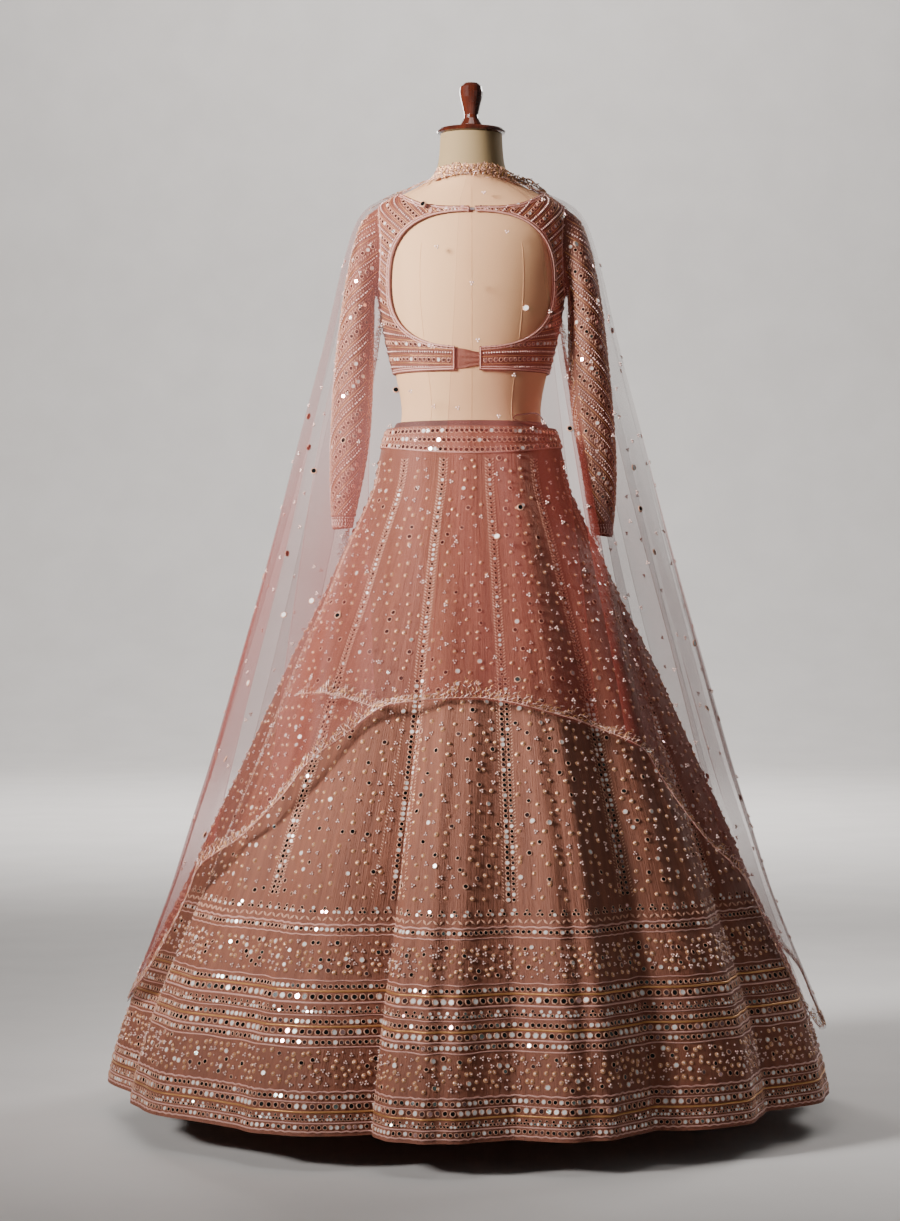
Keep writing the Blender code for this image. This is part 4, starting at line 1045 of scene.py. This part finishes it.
def body_rays(deg, z):
    """Rays from outside towards the body's axis."""
    axis = z[:, None] * (0.0, 0.0, 1.0)
    return 1.6 * oval(deg, BODY_HALF_WIDTH, BODY_HALF_DEPTH, 0.0) + axis, axis


def level_rays(x, z, side=-1):
    """Rays along the y axis, from behind by default."""
    origins = np.stack([x, np.full_like(x, 0.4 * side), z], -1)
    return origins, origins * (1.0, 0.0, 1.0)


def dense_path(corners, step):
    """Points a step apart along a path of corners."""
    corners = np.array(corners, float)
    run = run_along(corners)
    at = np.linspace(0.0, run[-1], max(int(run[-1] / step), 4))
    return np.stack([np.interp(at, run, column) for column in corners.T], -1)


def neck_path(neck, distance):
    """A neckline from side to side, moved down by a distance."""
    path = dense_path([(-x, z) for x, z in neck[::-1]] + list(neck[1:]), CORD_CORNER)
    ahead = unit(np.gradient(path, axis=0))
    return path + distance * np.stack([ahead[:, 1], -ahead[:, 0]], -1)


def squared(wave):
    """A sine or cosine bent so that an oval gets squarer."""
    return np.sign(wave) * np.abs(wave) ** (2.0 / OPENING_SQUARENESS)


def edge_cords(work, surface):
    """The pink beaded cords along the choli's edges. The outer one breaks off over the strap."""
    turns = np.linspace(0.0, 2 * np.pi, 420)
    for offset, width, breaks in ((0.0022, 0.0030, False), (0.0058, 0.0022, True)):
        x = (OPENING_HALF_WIDTH + offset) * squared(np.cos(turns))
        z = OPENING_MIDDLE + (OPENING_HALF_HEIGHT + offset) * squared(np.sin(turns))
        opening = dense_path(np.stack([x, z], -1), CORD_CORNER)
        back = neck_path(BACK_NECK, offset)
        for path in (opening, back):
            if breaks:
                path[(np.abs(path[:, 0]) < 0.066) & (path[:, 1] > 1.50), 1] = OUT_OF_REACH
            work.path_cord(surface, level_rays(*path.T), width, PINK)
        work.path_cord(surface, level_rays(*neck_path(FRONT_NECK, offset).T, 1), width, PINK)
        deg = np.linspace(0.0, 360.0, 330)
        work.path_cord(surface, body_rays(deg, np.full_like(deg, CHOLI_HEM + offset)), width, PINK)
    for low, high, ends in ((1.2825, 1.3200, BAND_ENDS), (1.5535, 1.5605, STRAP_ENDS)):
        for side, x in zip((-1, 1), ends):
            z = np.linspace(low, high, 14)
            work.path_cord(surface, level_rays(np.full_like(z, x + side * 0.0022), z), 0.0026, PINK)
    scale = 1.0 + 0.0032 / ARMHOLE_HALF_HEIGHT
    across = np.cos(turns[::3])
    half = np.where(across > 0, ARMHOLE_FRONT_DEG, ARMHOLE_BACK_DEG)
    z = ARMHOLE_MIDDLE + scale * ARMHOLE_HALF_HEIGHT * np.sin(turns[::3])
    for side in (-1, 1):
        work.path_cord(surface, body_rays(side * (90.0 + scale * half * across), z), 0.0022, PINK)


def sew_strap_mirrors(work, surface):
    """A row of mirrors along each half of the strap, midway between the opening and the neck."""
    for side, low in ((-1, 0.008), (1, 0.010)):
        x = np.arange(low, 0.062, 0.0011)
        lift = (1.0 - (x / OPENING_HALF_WIDTH) ** OPENING_SQUARENESS) ** (1.0 / OPENING_SQUARENESS)
        opening = OPENING_MIDDLE + OPENING_HALF_HEIGHT * lift
        rays = level_rays(side * x, 0.5 * (opening + np.interp(x, *np.array(BACK_NECK).T)) + 0.0004)
        work.path_row(surface, rays, 0.0011, "mirror", 0.0060, 0.0028)


def sew_choli_rows(work, surface, side):
    """The rows of pearls, gold cords and mirrors over one half of the choli."""
    degrees, arcs = arc_degrees()
    for number in range(60):
        start = CHOLI_FIRST_ROW + CHOLI_ROW_PITCH * number
        rise = math.tan(CHOLI_ROW_RISE * (0.08 + 0.92 * float(smoothstep(1.31, 1.42, start))))
        arc = np.arange(0.004, arcs[-1], RAY_STEP)
        z = start + (np.minimum(arc, CHOLI_ROW_TURN) - CHOLI_ROW_PLACE) * rise
        z = z - np.maximum(arc - CHOLI_ROW_TURN, 0.0) * math.tan(CHOLI_FRONT_FALL)
        kept = (z > CHOLI_HEM + 0.006) & (z < 1.60)
        rays = body_rays(side * np.interp(arc[kept], arcs, degrees), z[kept])
        kind = CHOLI_ROWS[number % 4]
        if kind == "pearl":
            work.path_row(surface, rays, RAY_STEP, "bead", 0.0047, 0.0018)
        elif kind == "gold":
            work.path_cord(surface, [part[::3] for part in rays], 0.0012, GOLD)
        else:
            work.path_row(surface, rays, RAY_STEP, "mirror", 0.0088, 0.0040)
            shifted = [part + (0.0, 0.0, 0.0030) for part in rays]
            work.path_row(surface, shifted, RAY_STEP, "stitch", 0.0048, 0.0023, 0.8)


def sleeve_rays(side, turn, z):
    """Rays towards a sleeve's middle line. Turn is in degrees from its front, outwards."""
    centre = np.interp(z, *np.array(SLEEVE_MIDDLES[side > 0]).T) * side
    turn = np.radians(turn)
    targets = np.stack([centre, np.zeros_like(z), z], -1)
    return targets + 0.08 * np.stack([side * np.sin(turn), np.cos(turn), np.zeros_like(z)], -1), targets


def sew_chevron(work, surface, side, row, peak):
    """One row of a sleeve's chevron, down both ways from its peak."""
    cuff = SLEEVE_CUFFS[side > 0]
    steepness = mix(1.10, 0.35, float(smoothstep(1.46, 1.58, peak)))
    reach = np.arange(RAY_STEP / 2, np.pi * SLEEVE_RADIUS, RAY_STEP)
    for way, slope in ((-1, steepness), (1, 1.5 * steepness)):
        z = peak - slope * reach
        turn = CHEVRON_PEAK + way * np.degrees(reach / SLEEVE_RADIUS)
        kept = (z > cuff + 0.020) & (z < 1.572)
        if kept.sum() < 5:
            continue
        rays = sleeve_rays(side, turn[kept], z[kept])
        if row.kind == "gold":
            work.path_cord(surface, [part[::3] for part in rays], row.size, GOLD)
            continue
        kind = "bead" if row.kind == "pearl" else row.kind
        spin = LEAN * way * side if kind == "stitch" else 0.0
        work.path_row(surface, rays, 2.0 * RAY_STEP, kind, row.pitch, row.size, spin)


def embroider_sleeve(piece, side, name):
    surface = Surface([piece])
    cuff = SLEEVE_CUFFS[side > 0]
    upper, lower = Embroidery(FITTED_SHARES), Embroidery(FITTED_SHARES)
    for number in range(9):
        for row in CHEVRON:
            peak = 1.720 - CHEVRON_PITCH * number - row.drop
            if peak >= cuff:
                sew_chevron(upper if peak > 1.30 else lower, surface, side, row, peak)
    turn = np.arange(0.0, 360.0, 1.6)
    for lift, kind, pitch, size, spin in (
        (0.0070, "leaf", 0.0060, 0.0040, 1.3),
        (0.0130, "leaf", 0.0050, 0.0036, 1.9),
        (0.0180, "bead", 0.0048, 0.0012, 0.0),
    ):
        rays = sleeve_rays(side, turn, np.full_like(turn, cuff + lift))
        lower.path_row(surface, rays, 2.0 * RAY_STEP, kind, pitch, size, spin)
    wave = 0.0012 * np.sin(np.radians(turn) * 22.0)
    lower.path_cord(surface, sleeve_rays(side, turn, cuff + 0.0030 + wave), 0.0020, PINK)
    upper.build(name + "_upper")
    lower.build(name + "_lower")


def build_choli(look):
    names = ("choli_back_left", "choli_back_right", "choli_front_left", "choli_front_right")
    surface = Surface([finer(node, look, 1) for node in names])
    edges = Embroidery(FITTED_SHARES)
    edge_cords(edges, surface)
    sew_strap_mirrors(edges, surface)
    edges.build("choli_edge_cords")
    for side, name in ((-1, "choli_beads_left"), (1, "choli_beads_right")):
        work = Embroidery(FITTED_SHARES)
        sew_choli_rows(work, surface, side)
        work.build(name)
    for side, node in ((-1, "sleeve_left"), (1, "sleeve_right")):
        embroider_sleeve(finer(node, look, 1), side, node + "_beads")
    tab = finer("choli_back_tab", look, 2)
    for vertex in tab.data.vertices:
        share = float(smoothstep(-0.030, 0.010, vertex.co.x))
        turn = 2 * math.pi * (vertex.co.z - TAB_GATHER) / (0.0125 - 0.0045 * share)
        vertex.co.y -= TAB_WRINKLE * share * (0.5 - 0.5 * math.cos(turn))


# The waist


def waist_ring(deg, z, inset=0.0):
    half_width, half_depth = np.moveaxis(SKIRT_CURVES(z), -1, 0)
    return oval(deg, half_width - inset, half_depth - inset, z)


def build_waistband(look):
    deg = np.arange(160) * 360.0 / 160
    foot = WAIST_SEAM - waist_sag(deg) + 0.0003
    levels = foot + (WAIST_TOP - foot) * np.linspace(0.0, 1.0, 9)[:, None]
    around = np.broadcast_to(deg, levels.shape)
    wrinkle = 0.0004 * np.sin(np.radians(around) * 31.0 + 400.0 * levels)
    outer, inner = waist_ring(around, levels, wrinkle), waist_ring(around, levels, BAND_WALL)
    uv = np.stack([around * 0.0024, levels], -1)
    nodes = ("lehenga_waistband",)
    cloth_wall("waistband_cloth", outer, inner, uv, look, nodes, ring=True)
    work = Embroidery(FITTED_SHARES)
    degrees, arcs = arc_degrees()
    degrees = np.concatenate([degrees, 360.0 - degrees[-2::-1]])
    arcs = np.concatenate([arcs, 2 * arcs[-1] - arcs[-2::-1]])
    for number, z in enumerate(WAISTBAND_ROWS):
        at = np.interp((np.arange(96) + 0.5 * (number % 2)) * arcs[-1] / 96, arcs, degrees)
        heights = z - 0.45 * number * waist_sag(at)
        points, normals, along = frames(waist_ring, at, heights, 0.5, 0.002)
        work.sew("mirror", points, normals, along, 0.0048, 0.0, 0.12)
        work.sew("bead", waist_ring(at + 1.9, heights + 0.0052), normals, along, 0.0010)
    seam = waist_ring(deg, foot + 0.0022)
    work.cord(seam, unit(seam * (1.0, 1.2, 0.0)), 0.0026, 0.0018, PINK, closed=True)
    work.build("waistband_mirrors")


# The dress form


def build_form(linen, wood, metal):
    for node, look in (
        ("form_neck_cap", wood),
        ("form_finial", wood),
        ("stand_pole", metal),
        ("stand_base", metal),
        ("choli_neck_hook", metal),
    ):
        for slot in bpy.data.objects[node].material_slots:
            slot.material = look
    surface = Surface([finer("form_torso", linen, 2)])
    seams = Embroidery(FITTED_SHARES)
    for deg, top in FORM_SEAMS:
        z = np.linspace(1.00, top, 150)
        seams.path_cord(surface, body_rays(np.full_like(z, deg), z), 0.0007, THREAD)
    obj = seams.build("form_seams")
    obj.data.materials.clear()
    obj.data.materials.append(linen)


# Studio


def build_studio():
    """A pale floor that bends up into a backdrop, soft lights and the camera."""
    grain = (3.0, 3.0, 3.0)
    paper = plain_material("studio_paper", (0.72, 0.70, 0.69), (0.76, 0.74, 0.73), 0.85, grain, 0.0001)
    foot, bend, top, half_width = 11.0, 3.0, 14.0, 16.0
    profile = [(-30.0, 0.0), (foot, 0.0)]
    profile += [(foot + bend * math.sin(t), bend - bend * math.cos(t)) for t in np.radians(range(6, 91, 6))]
    profile.append((foot + bend, top))
    points = [(x, y, z) for x in (-half_width, half_width) for y, z in profile]
    count = len(profile)
    faces = [(n, n + count, n + count + 1, n + 1) for n in range(count - 1)]
    mesh_object("studio_floor", points, faces, [paper])
    for name, place, aim, size, watts, spread in (
        ("key", (-3.35, -2.2, 2.5), (-0.12, 0.0, 1.54), 1.1, 62.0, 50.0),
        ("fill", (3.2, -3.6, 1.6), (0.0, 0.0, 0.8), 2.4, 3.0, 180.0),
        ("top", (-0.3, -0.9, 3.9), (0.0, 0.0, 1.2), 1.6, 9.0, 120.0),
        ("rim", (2.2, 2.4, 2.6), (0.0, 0.0, 1.1), 1.2, 26.0, 120.0),
        ("front", (-1.6, 4.2, 2.4), (0.0, 0.0, 1.0), 1.6, 14.0, 70.0),
        ("floor_behind", (0.0, 6.0, 6.5), (0.0, 6.5, 0.0), 4.0, 150.0, 80.0),
        ("floor_before", (0.0, -9.5, 6.5), (0.0, -9.5, 0.0), 4.0, 150.0, 80.0),
        ("backdrop", (0.0, 7.5, 8.0), (0.0, 13.5, 2.0), 5.0, 620.0, 150.0),
    ):
        lamp = bpy.data.lights.new(name, "AREA")
        lamp.size = size
        lamp.energy = watts
        lamp.spread = math.radians(spread)
        lamp.color = (1.0, 0.97, 0.94)
        obj = bpy.data.objects.new(name, lamp)
        obj.location = place
        obj.rotation_euler = (Vector(aim) - Vector(place)).to_track_quat("-Z", "Y").to_euler()
        bpy.context.scene.collection.objects.link(obj)
    world = bpy.data.worlds.new("studio_air")
    world.use_nodes = True
    world.node_tree.nodes["Background"].inputs["Color"].default_value = (0.80, 0.78, 0.77, 1.0)
    world.node_tree.nodes["Background"].inputs["Strength"].default_value = 0.085
    bpy.context.scene.world = world
    lens = bpy.data.cameras.new("camera")
    lens.lens = LENS
    lens.sensor_width = SENSOR
    camera = bpy.data.objects.new("camera", lens)
    camera.location = CAMERA_PLACE
    camera.rotation_euler = (math.radians(90.0), 0.0, 0.0)
    bpy.context.scene.collection.objects.link(camera)
    bpy.context.scene.camera = camera


build_studio()
build_form(
    linen_material("form_linen", (0.76, 0.45, 0.23), (0.27, 0.185, 0.090)),
    plain_material("varnished_wood", (0.040, 0.007, 0.003), (0.085, 0.015, 0.006), 0.18, (60.0, 60.0, 12.0),
                   0.0001, Coat_Weight=0.8),
    plain_material("stand_steel", (0.24, 0.24, 0.25), (0.34, 0.34, 0.35), 0.35, (300.0, 300.0, 30.0),
                   0.0001, 1.0),
)
skirt_cloth = georgette("skirt_georgette", (0.165, 0.048, 0.024), (0.25, 0.080, 0.042), "UV")
choli_cloth = georgette("choli_georgette", (0.125, 0.034, 0.018), (0.190, 0.058, 0.031), "Object")
cotton = (900.0, 900.0, 900.0)
# Near-black cloth for the thin band that shows just above the waistband.
lining = plain_material("near_black_band_cloth", (0.05, 0.02, 0.016), (0.09, 0.035, 0.03), 0.8, cotton, 0.0002)
build_skirt(skirt_cloth)
embroider_skirt()
build_waistband(skirt_cloth)
finer("lehenga_lining_band", lining, 2)
finer("lehenga_tie", choli_cloth, 2)
build_choli(choli_cloth)
dupatta = Surface([build_cape(net_material("rose_net", (0.30, 0.042, 0.029), 0.094))])
sew_cape_beads(dupatta)
sew_cape_edges(dupatta)
